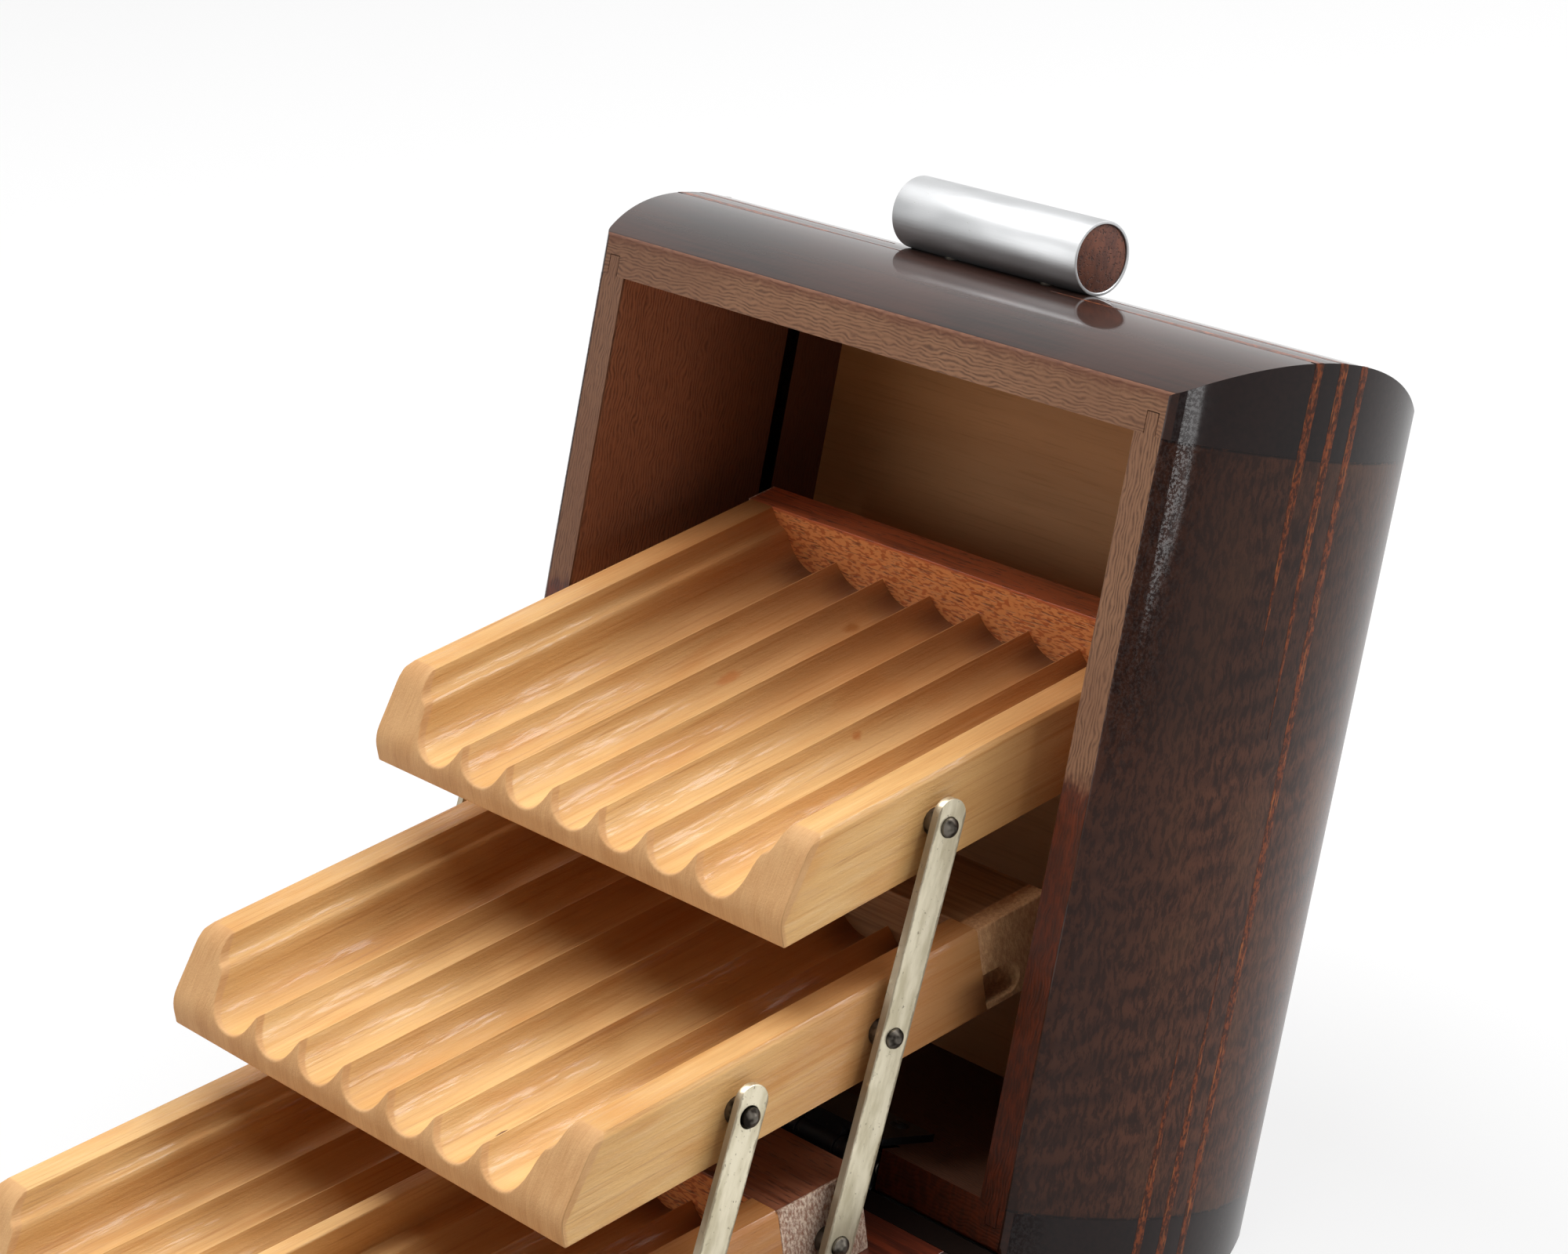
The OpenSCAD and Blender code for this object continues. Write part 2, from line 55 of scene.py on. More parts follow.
class Sap:
    """A number, colour or vector flowing through a material. Arithmetic on it adds the nodes."""

    def __init__(self, tree, socket=None):
        self.tree, self.socket = tree, socket

    def node(self, kind, settings=(), sockets=(), out=0):
        made = self.tree.nodes.new("ShaderNode" + kind)
        for name, value in dict(settings).items():
            setattr(made, name, value)
        for name, value in dict(sockets).items():
            if isinstance(value, Sap):
                self.tree.links.new(value.socket, made.inputs[name])
            else:
                made.inputs[name].default_value = value
        return Sap(self.tree, made.outputs[out] if made.outputs else None)

    def sum_up(self, operation, *parts):
        if all(not isinstance(p, Sap) or p.socket.type == "VALUE" for p in parts) and \
                not any(isinstance(p, tuple) for p in parts):
            return self.node("Math", {"operation": operation}, dict(enumerate(parts)))
        wide = [p if isinstance(p, (Sap, tuple)) else (p, p, p) for p in parts]
        return self.node("VectorMath", {"operation": operation}, dict(enumerate(wide)))

    def __add__(self, other): return self.sum_up("ADD", self, other)
    def __radd__(self, other): return self.sum_up("ADD", other, self)
    def __sub__(self, other): return self.sum_up("SUBTRACT", self, other)
    def __rsub__(self, other): return self.sum_up("SUBTRACT", other, self)
    def __mul__(self, other): return self.sum_up("MULTIPLY", self, other)
    def __pow__(self, other): return self.sum_up("POWER", self, other)
    def __abs__(self): return self.sum_up("ABSOLUTE", self)

    def most(self, other): return self.sum_up("MAXIMUM", self, other)
    def sine(self): return self.sum_up("SINE", self)
    def length(self): return self.node("VectorMath", {"operation": "LENGTH"}, {0: self}, "Value")

    def rise(self, low, high):
        """0 at low, 1 at high, smooth between; low may be the larger one."""
        return self.node("MapRange", {"interpolation_type": "SMOOTHSTEP"},
                         {"Value": self, "From Min": low, "From Max": high})

    def part(self, axis):
        return self.node("SeparateXYZ", (), {0: self}, axis)

    def noise(self, stretch, detail=3.0, rough=0.55, bend=0.0):
        """Noise over this point; stretch is how many features per millimetre along X, Y and Z."""
        return self.node("TexNoise", (), {"Vector": self * stretch, "Scale": 1.0, "Detail": detail,
                                          "Roughness": rough, "Distortion": bend})


def shade_of(red, green, blue):
    """An everyday 0-255 colour as the linear colour that the nodes want."""
    def linear(c):
        c /= 255
        return c / 12.92 if c <= 0.04045 else ((c + 0.055) / 1.055) ** 2.4
    return (linear(red), linear(green), linear(blue), 1.0)


def blended(a, b, share):
    """Colour a turning into colour b where share goes from 0 to 1."""
    host = next(p for p in (share, a, b) if isinstance(p, Sap))
    return host.node("Mix", {"data_type": "RGBA", "blend_type": "MIX", "clamp_factor": True},
                     {0: share, 6: a, 7: b}, out=2)


def empty_rig(holder):
    """A material's or world's nodes, cleared and ready for its own."""
    holder.use_nodes = True
    holder.node_tree.nodes.clear()
    return Sap(holder.node_tree)


def finish(name, place, paint):
    """A new material. paint gets the point in the piece's own millimetres and returns the
    surface's sockets; relief is a height in millimetres."""
    material = bpy.data.materials.new(name)
    rig = empty_rig(material)
    back = place.inverted()
    point = rig.node("Mapping", (), {"Vector": rig.node("TexCoord", out="Object"), "Scale": (TO_MM,) * 3,
                                     "Location": back.translation, "Rotation": back.to_euler()})
    surface = paint(point)
    surface["Normal"] = rig.node("Bump", (), {"Height": surface.pop("relief"), "Distance": MM})
    rig.node("OutputMaterial", (), {"Surface": rig.node("BsdfPrincipled", (), surface)})
    return material


def wavy(q, size, amount):
    """The point, pushed about a little, so that lines through it waver like grain."""
    cloud = q.node("TexNoise", (), {"Vector": q * size, "Scale": 1.0, "Detail": 1.0}, "Color")
    return q + (cloud - 0.5) * amount


def turned_grain(q, along):
    """The point with Y along the board, whichever way the board runs."""
    if along == "Y":
        return q
    return q.node("CombineXYZ", (), {0: q.part("Y"), 1: q.part("X"), 2: q.part("Z")})


def flecks(point, along, shift):
    """How dark the flecks, the hairlines and the broad patches of sanded wood are. The flecks
    are wavering lines along the board, half a millimetre apart and broken here and there."""
    q = wavy(turned_grain(point, along) + (shift, shift * 1.7, 0.0), (0.55, 0.3, 0.55), (1.1, 0.0, 1.1))
    ripple = ((q.part("X") + q.part("Z")) * 12.5).sine() * 0.5 + 0.5
    broken = q.noise((1.6, 0.55, 1.6), 2.0, 0.6).rise(0.38, 0.6)
    return (ripple ** 1.3 * (0.45 + broken * 0.55), q.noise((5.0, 0.5, 5.0), 2.0),
            q.noise((0.06, 0.035, 0.06), 2.0).rise(0.3, 0.7))


def flecked(marks, light, dark, tone):
    """The colour of sanded wood with those marks, on light wood that turns to tone in patches."""
    fleck, hair, patch = marks
    colour = blended(light, dark, fleck * 0.8)
    colour = blended(colour, tone, patch * 0.5)
    return blended(colour, shade_of(60, 38, 26), hair.rise(0.55, 0.75) * 0.3)


def bare_wood(along, light, dark, tone, shift=0.0):
    """Unvarnished wood, sanded: dense, fine flecks that waver along the board."""
    def paint(point):
        marks = flecks(point, along, shift)
        return {"Base Color": flecked(marks, light, dark, tone), "Roughness": 0.62 + marks[1] * 0.2,
                "relief": (marks[1] * 0.3 - marks[0]) * 0.025, "Specular IOR Level": 0.3}
    return paint


def lacquer(deep, lit, shift=0.0, pebbled=0.0):
    """Dark stain under a thick gloss coat; the grain only shows faintly through it. pebbled is
    how far the coat breaks up beside the rim."""
    def paint(point):
        q = turned_grain(point, "X") + (shift, shift * 1.3, shift)
        grain = q.noise((1.3, 0.05, 1.3), 3.0, 0.6, 0.3)
        cloud = q.noise((0.05, 0.04, 0.05), 2.0)
        colour = blended(deep, lit, (grain * 0.5 + cloud * 0.6).rise(0.3, 0.75))
        dust = q.noise((0.9, 0.9, 0.9), 1.0)
        broken = point.part("Z").rise(6.0, 1.0) * point.noise((3.0, 2.2, 2.2), 3.0, 0.75).rise(0.56, 0.46)
        return {"Base Color": colour, "Roughness": 0.5, "Specular IOR Level": 0.05,
                "Coat Weight": 1 - broken * pebbled, "Coat Roughness": 0.08, "Coat IOR": 1.26,
                "relief": dust * 0.02 + cloud * 0.12}
    return paint


def veneer(shift=0.0):
    """Mottled brown veneer: short wavy cells, a dark curled figure here and there, darker near
    the rim and at its ends. Along the rim's front half the lacquer is pebbled. A dark seam runs
    where the veneer meets the end boards."""
    def paint(point):
        p = point + (shift, shift, 0.0)
        bent = wavy(p, (0.3, 0.22, 0.3), (0.0, 1.6, 1.6))
        cell = bent.noise((0.7, 0.5, 1.7), 3.0, 0.65).rise(0.42, 0.6)
        fine = bent.noise((2.0, 0.9, 4.5), 2.0, 0.6).rise(0.45, 0.65)
        curl = wavy(p, (0.1, 0.16, 0.12), (0.0, 5.0, 7.0))
        ripple = ((curl.part("Y") * 1.5 + curl.part("Z") * 0.5).sine() * 0.5 + 0.5) ** 2.0
        cloud = p.noise((0.05, 0.05, 0.08), 2.0, 0.6)
        rim_side = point.part("Z").rise(16.0, 3.0)
        colour = blended(shade_of(86, 50, 34), shade_of(38, 20, 14), cell * 0.8)
        colour = blended(colour, shade_of(92, 60, 40), (cloud.rise(0.45, 0.72) * 0.7) * (1 - rim_side))
        colour = blended(colour, shade_of(36, 20, 15), ripple * cloud.rise(0.62, 0.42) * 0.5)
        colour = blended(colour, shade_of(38, 19, 14), (rim_side * 0.45).most(fine * 0.4))
        colour = blended(colour, shade_of(26, 13, 10), abs(point.part("Y") - 16.0).rise(22.0, 36.0) * 0.45)
        seam = abs(point.part("Y")).rise(HALF_Y - END_T - 0.5, HALF_Y - END_T - 0.1)
        colour = blended(colour, shade_of(18, 10, 9), seam * p.noise((2.0, 2.0, 0.8), 2.0).rise(0.3, 0.5))
        swell = p.noise((0.07, 0.07, 0.07), 2.0)
        pebble = p.noise((3.4, 2.2, 2.6), 3.0, 0.75)
        near_rim = point.part("Z").rise(7.5, 1.0) * point.part("Y").rise(2.0, -20.0)
        return {"Base Color": colour, "Roughness": 0.5,
                "Coat Weight": 1 - near_rim * pebble.rise(0.57, 0.47) * 0.92, "Coat Roughness": 0.07,
                "Coat IOR": 1.24, "Specular IOR Level": 0.05,
                "relief": swell * 0.25 + cell * 0.01 + pebble * (0.004 + near_rim * 0.1) - seam * 0.05}
    return paint


LACQUER = shade_of(22, 12, 9), shade_of(52, 27, 18)
BASE_STAIN = shade_of(40, 20, 14), shade_of(20, 11, 9), shade_of(30, 15, 11)


def settled(made):
    """The piece's modifiers worked into its mesh."""
    bpy.context.view_layer.update()
    seen = made.evaluated_get(bpy.context.evaluated_depsgraph_get())
    mesh = bpy.data.meshes.new_from_object(seen)
    made.modifiers.clear()
    made.data = mesh
    return made


def rebuilt(made, weld=0.0, flat=0.0, sharp=0.0):
    """The mesh with points nearer than weld metres joined, faces that bend less than flat degrees
    merged, all faces turned outward and shading smooth but for edges of sharp degrees or more."""
    work = bmesh.new()
    work.from_mesh(made.data)
    if weld:
        bmesh.ops.remove_doubles(work, verts=work.verts, dist=weld)
    if flat:
        bmesh.ops.dissolve_limit(work, angle_limit=math.radians(flat), verts=work.verts, edges=work.edges)
    bmesh.ops.recalc_face_normals(work, faces=work.faces)
    work.to_mesh(made.data)
    work.free()
    made.data.shade_smooth()
    if sharp:
        made.data.set_sharp_from_angle(angle=math.radians(sharp))
    return made


def eased(made, width):
    """Sharp edges taken off by width millimetres, with clean shading over the flats."""
    rebuilt(made, weld=2e-6, flat=0.6)
    edge = made.modifiers.new("edge", "BEVEL")
    edge.width, edge.segments = width * MM, 2
    edge.limit_method, edge.angle_limit = "ANGLE", math.radians(35)
    edge.miter_outer = "MITER_ARC"
    settled(made)
    made.data.set_sharp_from_angle(angle=math.radians(40))
    flats = made.modifiers.new("flats", "WEIGHTED_NORMAL")
    flats.keep_sharp = True
    return settled(made)


def mesh_piece(name, points, faces, place=ON_TABLE):
    """A mesh from points in a piece's own millimetres, put in its place in the box."""
    mesh = bpy.data.meshes.new(name)
    mesh.from_pydata([(place @ Vector(p)) * MM for p in points], [], faces)
    made = bpy.data.objects.new(name, mesh)
    bpy.context.scene.collection.objects.link(made)
    return made


def blocks(name, corners, place=ON_TABLE):
    """Several boxes in one mesh, each from two opposite corners."""
    points, faces = [], []
    for pair in corners:
        a, b, c, d, e, f, g, h = range(len(points), len(points) + 8)
        faces += [(a, d, c, b), (e, f, g, h), (a, b, f, e), (b, c, g, f), (c, d, h, g), (d, a, e, h)]
        (x0, x1), (y0, y1), (z0, z1) = (sorted(ends) for ends in zip(*pair))
        points += [(x, y, z) for z in (z0, z1) for x, y in ((x0, y0), (x1, y0), (x1, y1), (x0, y1))]
    return mesh_piece(name, points, faces, place)


def carved(made, tool, how="DIFFERENCE"):
    """The piece with the tool's shape cut out of it, or joined to it."""
    cut = made.modifiers.new("cut", "BOOLEAN")
    cut.operation, cut.solver, cut.object = how, "EXACT", tool
    settled(made)
    bpy.data.objects.remove(tool)
    return made


def coated(made, materials, pick=None, place=ON_TABLE):
    """Materials put on the piece; pick chooses one for each face from its middle and normal."""
    made.data.materials.clear()
    for material in materials:
        made.data.materials.append(material)
    back = place.inverted()
    for face in made.data.polygons:
        face.material_index = pick(back @ (face.center * TO_MM), back.to_3x3() @ face.normal) if pick else 0
    return made


BODY_OF = {node: body for body, nodes in frame["record"]["behaviour"]["bodies"].items()
           for node in nodes}


def stands_for(made, node):
    """The piece rides with the node's body and hides the node."""
    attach(made, BODY_OF[node])
    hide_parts(node)


def copy_of(node, name):
    """A copy of a node's mesh, to be worked on."""
    made = bpy.data.objects.new(name, frame["nodes"][node].data.copy())
    bpy.context.scene.collection.objects.link(made)
    return made


def from_solid(node, name, ease, materials, pick=None, place=ON_TABLE):
    """A node's own solid with eased edges and its finish."""
    stands_for(coated(eased(copy_of(node, name), ease), materials, pick, place), node)


def base_face(centre, normal):
    """0 lacquered outside and below, 1 bare wood on top and inside."""
    out = max(abs(centre.x) - HALF_X, abs(centre.y) - HALF_Y) > -0.25 and centre.z < BASE_H - 0.3
    return 0 if out or normal.z < -0.7 else 1


def painted_hinge_shade(point):
    """Near-black painted shade for the gap by the hinges."""
    grit = point.noise((1.6, 1.6, 1.6), 2.0)
    return {"Base Color": blended(shade_of(16, 11, 9), shade_of(28, 18, 14), grit), "Roughness": 0.85,
            "Specular IOR Level": 0.04, "relief": grit * 0.02}


base_hinge_shade = finish("base_painted_hinge_shade", ON_TABLE, painted_hinge_shade)
base_bare_x = finish("base_bare_wood", ON_TABLE, bare_wood("X", *BASE_STAIN, 5.0))
base_bare_y = finish("base_side_bare_wood", ON_TABLE, bare_wood("Y", *BASE_STAIN, 9.0))
base_gloss = finish("base_lacquer", ON_TABLE, lacquer(*LACQUER, 3.0))
base_veneer = finish("base_veneer", ON_TABLE, veneer(31.0))
# The back board's top and inside take near-black painted shade instead of bare wood.
for node, outside, inside in (("base_front_wall", base_gloss, base_bare_x),
                              ("base_back_wall", base_gloss, base_hinge_shade),
                              ("base_left_wall", base_veneer, base_bare_y),
                              ("base_right_wall", base_veneer, base_bare_y)):
    from_solid(node, node.replace("_wall", "_board"), 0.2, [outside, inside], base_face)

# ---- base deck and bottom board ----
# The deck is a stained and varnished board flush with the rim, orange-red where it shows. The
# bottom board is plain plywood let in between the walls.


def red_deck(point):
    q = turned_grain(point, "X")
    grain = q.noise((1.0, 0.03, 1.0), 3.0, 0.6, 0.4)
    pore = q.noise((4.0, 0.25, 4.0), 1.0).rise(0.6, 0.72)
    colour = blended(shade_of(108, 43, 21), shade_of(64, 24, 12), grain.rise(0.4, 0.65))
    colour = blended(colour, shade_of(60, 20, 10), pore * 0.6)
    return {"Base Color": colour, "Roughness": 0.4, "Coat Weight": 0.6, "Coat Roughness": 0.15,
            "relief": (grain * 0.3 - pore) * 0.03}


def plain_ply(light, dark, shift=0.0):
    """Smooth, pale plywood: long soft bands and a fine silky fibre."""
    def paint(point):
        q = turned_grain(point, "X") + (shift, 0.0, shift)
        band = q.noise((0.16, 0.008, 0.16), 2.0, 0.5, 0.6)
        fibre = q.noise((3.2, 0.09, 3.2), 2.0)
        colour = blended(light, dark, band.rise(0.25, 0.8))
        colour = blended(colour, shade_of(90, 56, 30), fibre.rise(0.5, 0.75) * 0.15)
        return {"Base Color": colour, "Roughness": 0.5 + fibre * 0.2, "relief": fibre * 0.015,
                "Specular IOR Level": 0.35}
    return paint


bottom_ply = plain_ply(shade_of(196, 158, 112), shade_of(170, 128, 84))
from_solid("base_deck", "deck_board", 0.12, [finish("deck_stain", ON_TABLE, red_deck)])
from_solid("base_bottom_board", "bottom_board", 0.12, [finish("bottom_ply", ON_TABLE, bottom_ply)])

# ---- hinges on the base ----
# Two small butt hinges of black-painted steel, let into the bevel with two countersunk screws
# each; their pins run right through the knuckles.


def black_paint(point):
    chip = point.noise((1.6, 1.6, 1.6), 3.0, 0.65).rise(0.62, 0.7)
    grit = point.noise((6.0, 6.0, 6.0), 2.0)
    return {"Base Color": blended(shade_of(20, 20, 22), shade_of(92, 84, 74), chip),
            "Metallic": chip * 0.9, "Roughness": 0.34 + grit * 0.25, "relief": grit * 0.015 - chip * 0.02}


def pin_steel(point):
    scuff = point.noise((2.2, 2.2, 2.2), 3.0, 0.6)
    tarnish = point.noise((0.6, 0.6, 0.6), 2.0).rise(0.4, 0.65)
    return {"Base Color": blended(shade_of(104, 98, 90), shade_of(34, 30, 26), tarnish),
            "Metallic": 1.0, "Roughness": 0.25 + scuff * 0.3, "relief": scuff * 0.02}


def slotted(node, name, middles, low, high, ease, material, place):
    """A node's screws with a slot across each head. low and high are the slot's corners, from
    the middle of its screw."""
    slots = [((x + low[0], *low[1:]), (x + high[0], *high[1:])) for x in middles]
    heads = carved(copy_of(node, name), blocks("slot_tool", slots, place))
    stands_for(coated(eased(heads, ease), [material]), node)


BEVEL_SLOPE = math.radians(56)
BEVEL_Y = HALF_Y - 5.53
ON_BEVEL = Matrix.Translation((0, BEVEL_Y, BASE_H)) @ Matrix.Rotation(-BEVEL_SLOPE, 4, "X")
HINGE_X, SCREW_X = 19, 7
LEAF_SCREWS = [side * HINGE_X + x for side in (-1, 1) for x in (-SCREW_X, SCREW_X)]
paint_black = finish("hinge_black", ON_TABLE, black_paint)
steel_dark = finish("pin_steel", ON_TABLE, pin_steel)
from_solid("base_hinge_leaves", "base_leaves", 0.1, [paint_black])
slotted("base_hinge_screws", "base_leaf_screws", LEAF_SCREWS, (-2, 6.3, 0.25), (2, 6.5, 1.0), 0.03,
        paint_black, ON_BEVEL)
from_solid("hinge_pins", "hinge_axles", 0.08, [steel_dark])

# ---- tray boards ----
# Each tray is one board of pale, straight-grained wood, ploughed with round grooves and cut
# back along a curved nose, then varnished. The bottom one has a strip where its middle groove
# would be.
TRAY_W, TRAY_H, BOARD_L = 82.25, 11.48, 66.5
PITCH, GROOVE_R, GROOVE_Z, STRIP_SEAT_Z = 9.5, 4.87, 2.85, 6.0
NOSE_R, NOSE_Z, NOSE_A = 4.5, 1.9, math.radians(40)
SLOPE_Z, OVER_A = 9.6, math.radians(72)
OVER_R = (TRAY_H - SLOPE_Z) / (math.sin(OVER_A) - math.sin(NOSE_A))
TRAY_Y = -40.73
BAR_SLOPE, BAR_PITCH = math.radians(63.5), 26.39
HEEL = Vector((0, TRAY_Y + BOARD_L + 6.6, BASE_H + 4.49))
UP_BAR = Vector((0, math.cos(BAR_SLOPE), math.sin(BAR_SLOPE)))
MIDDLE_HOLE, MIDDLE_TILT = (BOARD_L - 17.1, 5.3), 1.6
TOP_HOLE, TOP_TILT = (BOARD_L - 41.5, 5.6), 2.81


def hung(pin, hole, tilt):
    """Where a tray hangs, from its pin in the box, the pin's place in the tray and the tilt."""
    return (Matrix.Translation(pin) @ Matrix.Rotation(math.radians(tilt), 4, "X")
            @ Matrix.Translation((0, -hole[0], -hole[1])))


BOTTOM = Matrix.Translation((0, TRAY_Y, BASE_H))
MIDDLE = hung(HEEL + BAR_PITCH * UP_BAR, MIDDLE_HOLE, MIDDLE_TILT)
TOP = hung(HEEL + 2 * BAR_PITCH * UP_BAR, TOP_HOLE, TOP_TILT)


def soft_least(a, b, reach):
    """The lower of two heights, with the corner between them rounded."""
    near = max(reach - abs(a - b), 0) / reach
    return min(a, b) - near * near * reach / 4


COVE = [(32.79, 5.43), (33.15, 6.3), (33.42, 7.3), (33.68, 8.0), (33.95, 8.45), (34.2, 8.62), (34.5, 8.7),
        (34.85, 8.88), (35.2, 9.22), (35.5, 9.75), (35.72, 10.4), (35.88, 11.05), (36.05, 11.36),
        (36.4, TRAY_H)]


def groove_floor(x, middle_groove):
    """Height of the board's upper face at x across it: bowls with rounded crests between them,
    then the cove that leads up to the side."""
    x = abs(x)
    shoulder = 3 * PITCH + GROOVE_R * math.sin(math.radians(62))
    if x > shoulder:
        (xa, za), (xb, zb) = next(pair for pair in zip(COVE, COVE[1:]) if x <= pair[1][0] + 1e-6)
        return za + (zb - za) * (x - xa) / (xb - xa)

    def bowl(i):
        off = abs(x - i * PITCH)
        if i == 0 and not middle_groove:
            return STRIP_SEAT_Z
        if off > GROOVE_R - 0.02:
            return 6.9 + (off - GROOVE_R) * 4
        return GROOVE_Z + GROOVE_R - math.sqrt(GROOVE_R ** 2 - off ** 2)
    near = min(3, int(x / PITCH))
    return soft_least(bowl(near), bowl(min(3, near + 1)) if near < 3 else 99.0, 2.2)


def nose_y(z):
    """How far back the nose lies at height z."""
    arc_top = NOSE_Z + NOSE_R * math.sin(NOSE_A)
    if z <= NOSE_Z:
        return 0.0
    if z < arc_top:
        return NOSE_R * (1 - math.sqrt(1 - ((z - NOSE_Z) / NOSE_R) ** 2))
    slope = NOSE_R * (1 - math.cos(NOSE_A)) + (min(z, SLOPE_Z) - arc_top) * math.tan(NOSE_A)
    over = math.asin(math.sin(NOSE_A) + max(z - SLOPE_Z, 0.0) / OVER_R)
    return slope + OVER_R * (math.cos(NOSE_A) - math.cos(over))


def column(x, height, shrink):
    """The board's outline in the plane at x, from the bottom's back edge round the nose to the
    top's back edge, drawn in by shrink."""
    ease, foot = 0.28, 0.3
    side = [(BOARD_L, 0.0), (foot, 0.0), (0.08, 0.08)]
    side += [(nose_y(z), z) for z in (foot + (height - ease - foot) * k / 16 for k in range(17))]
    low, corner, back = side[-1], (nose_y(height), height), (nose_y(height) + 0.3, height)
    for t in (0.25, 0.5, 0.75):
        side.append(tuple((1 - t) ** 2 * a + 2 * t * (1 - t) * b + t * t * c
                          for a, b, c in zip(low, corner, back)))
    run = BOARD_L - back[0]
    side += [(back[0] + run * (k / 18) ** 1.4, height) for k in range(19)]
    if shrink:
        pulled = []
        for k, (y, z) in enumerate(side):
            (ya, za), (yb, zb) = side[k - 1], side[(k + 1) % len(side)]
            reach = math.hypot(yb - ya, zb - za) or 1.0
            pulled.append((y - shrink * (za - zb) / reach, z - shrink * (yb - ya) / reach))
        side = pulled
    return [(x, y, z) for y, z in side]


def grooved_board(name, place, middle_groove):
    """A tray's board from side to side as one column after another, closest at the crests."""
    half, bevel = TRAY_W / 2, 0.57
    across = [(-half, TRAY_H - bevel, 0.1), (-half + 0.1, TRAY_H - bevel + 0.1, 0.0),
              (-half + bevel, TRAY_H, 0.0), (-half + 1.4, TRAY_H, 0.0), (-38.4, TRAY_H, 0.0)]
    beside = (0, 0.07, 0.15, 0.26, 0.4, 0.6, 0.9, 1.3, 1.8, 2.4, 3.1, 3.9, 4.75)
    crests = [(i + 0.5) * PITCH for i in range(-4, 4)]
    outer = [3 * PITCH + off for off in (0.9, 1.8, 2.6, 3.2, 3.7, 4.1)]
    fine = sorted({round(c + s * off, 4) for c in crests[1:-1] for off in beside for s in (-1, 1)}
                  | {round(s * x, 4) for x in outer for s in (-1, 1)}
                  | {s * x for x, z in COVE for s in (-1, 1)})
    across += [(x, groove_floor(x, middle_groove), 0.0) for x in fine]
    across += [(-x, z, s) for x, z, s in reversed(across[:5])]
    rings = [column(*item) for item in across]
    count = len(rings[0])
    points = [p for ring in rings for p in ring]
    faces = [(a + j, a + (j + 1) % count, a + count + (j + 1) % count, a + count + j)
             for a in range(0, len(points) - count, count) for j in range(count)]
    faces += [tuple(reversed(range(count))), tuple(range(len(points) - count, len(points)))]
    return rebuilt(mesh_piece(name, points, faces, place), sharp=38)


def pale_board(shift, marks):
    """Pale honey wood: long fine fibres and soft orange clouds under a thin, uneven varnish,
    browner towards the back, partly the wood's own tone and partly painted shade, and darkened
    with painted shade where the grooves end under the block. The sawn nose is duller. Each mark
    is a spot's middle, how short it is along X, Y and Z, and its colour."""
    def paint(q):
        p = q + (shift, shift * 2.3, shift * 0.7)
        warp = wavy(p, (0.04, 0.012, 0.04), (6.0, 0.0, 6.0))
        year = ((warp.part("X") * 0.9 + warp.part("Z") * 2.1).sine() * 0.5 + 0.5) ** 5.0
        tone = p.noise((0.09, 0.014, 0.12), 3.0, 0.6, 0.3)
        streak = p.noise((1.1, 0.02, 1.1), 3.0, 0.62, 0.15)
        fibre = p.noise((3.0, 0.045, 3.0), 3.0, 0.7)
        cloud = p.noise((0.16, 0.06, 0.2), 2.0, 0.6)
        colour = blended(shade_of(226, 182, 121), shade_of(206, 157, 97), tone.rise(0.3, 0.7))
        colour = blended(colour, shade_of(190, 126, 60), year * streak.rise(0.4, 0.7) * 0.35)
        colour = blended(colour, shade_of(192, 138, 76), streak.rise(0.48, 0.75) * 0.5)
        colour = blended(colour, shade_of(240, 204, 150), fibre.rise(0.5, 0.8) * 0.3)
        colour = blended(colour, shade_of(160, 102, 54), fibre.rise(0.46, 0.3) * 0.4)
        colour = blended(colour, shade_of(200, 136, 68), cloud.rise(0.5, 0.74) * 0.4)
        # Browner towards the back: partly the wood's own warmer tone, partly painted shade for the shade on
        # the board's rear.
        back = q.part("Y").rise(20.0, 60.0)
        colour = blended(colour, shade_of(162, 90, 42), back * 0.6)
        sawn = (q.part("Y") - ((q.part("Z") - 2.9) * 0.9).most(0.0)).rise(0.75, 0.35)
        line = wavy(p, (0.2, 0.1, 0.1), (0.4, 0.0, 0.0)).noise((5.5, 0.4, 0.22), 2.0, 0.6)
        shade = p.noise((0.2, 0.1, 0.1), 2.0)
        end = blended(shade_of(214, 168, 118), shade_of(192, 142, 92),
                      (line * 0.45 + shade * 0.55).rise(0.3, 0.7))
        colour = blended(colour, end, sawn * 0.9)
        for middle, size, tint in marks:
            far = ((q - middle) * size).length() + p.noise((1.4, 0.8, 1.4), 2.0) * 0.6
            colour = blended(colour, tint, far.rise(1.35, 0.75))
        gloss = p.noise((2.2, 0.16, 2.2), 3.0, 0.7)
        chatter = p.noise((3.6, 0.7, 3.6), 3.0, 0.75)
        # Painted shade where the grooves end under the block.
        groove_end_shade = q.part("Y").rise(59.0, 66.2) * q.part("Z").rise(6.2, 3.6)
        colour = blended(colour, shade_of(84, 40, 16), groove_end_shade * 0.75)
        return {"Base Color": colour, "Roughness": 0.5 + sawn * 0.2,
                "Coat Weight": (0.55 - sawn * 0.5) * gloss.rise(0.46, 0.62), "Coat Roughness": 0.17,
                "relief": fibre * 0.02 + gloss * 0.05 + chatter * 0.06, "Specular IOR Level": 0.25}
    return paint


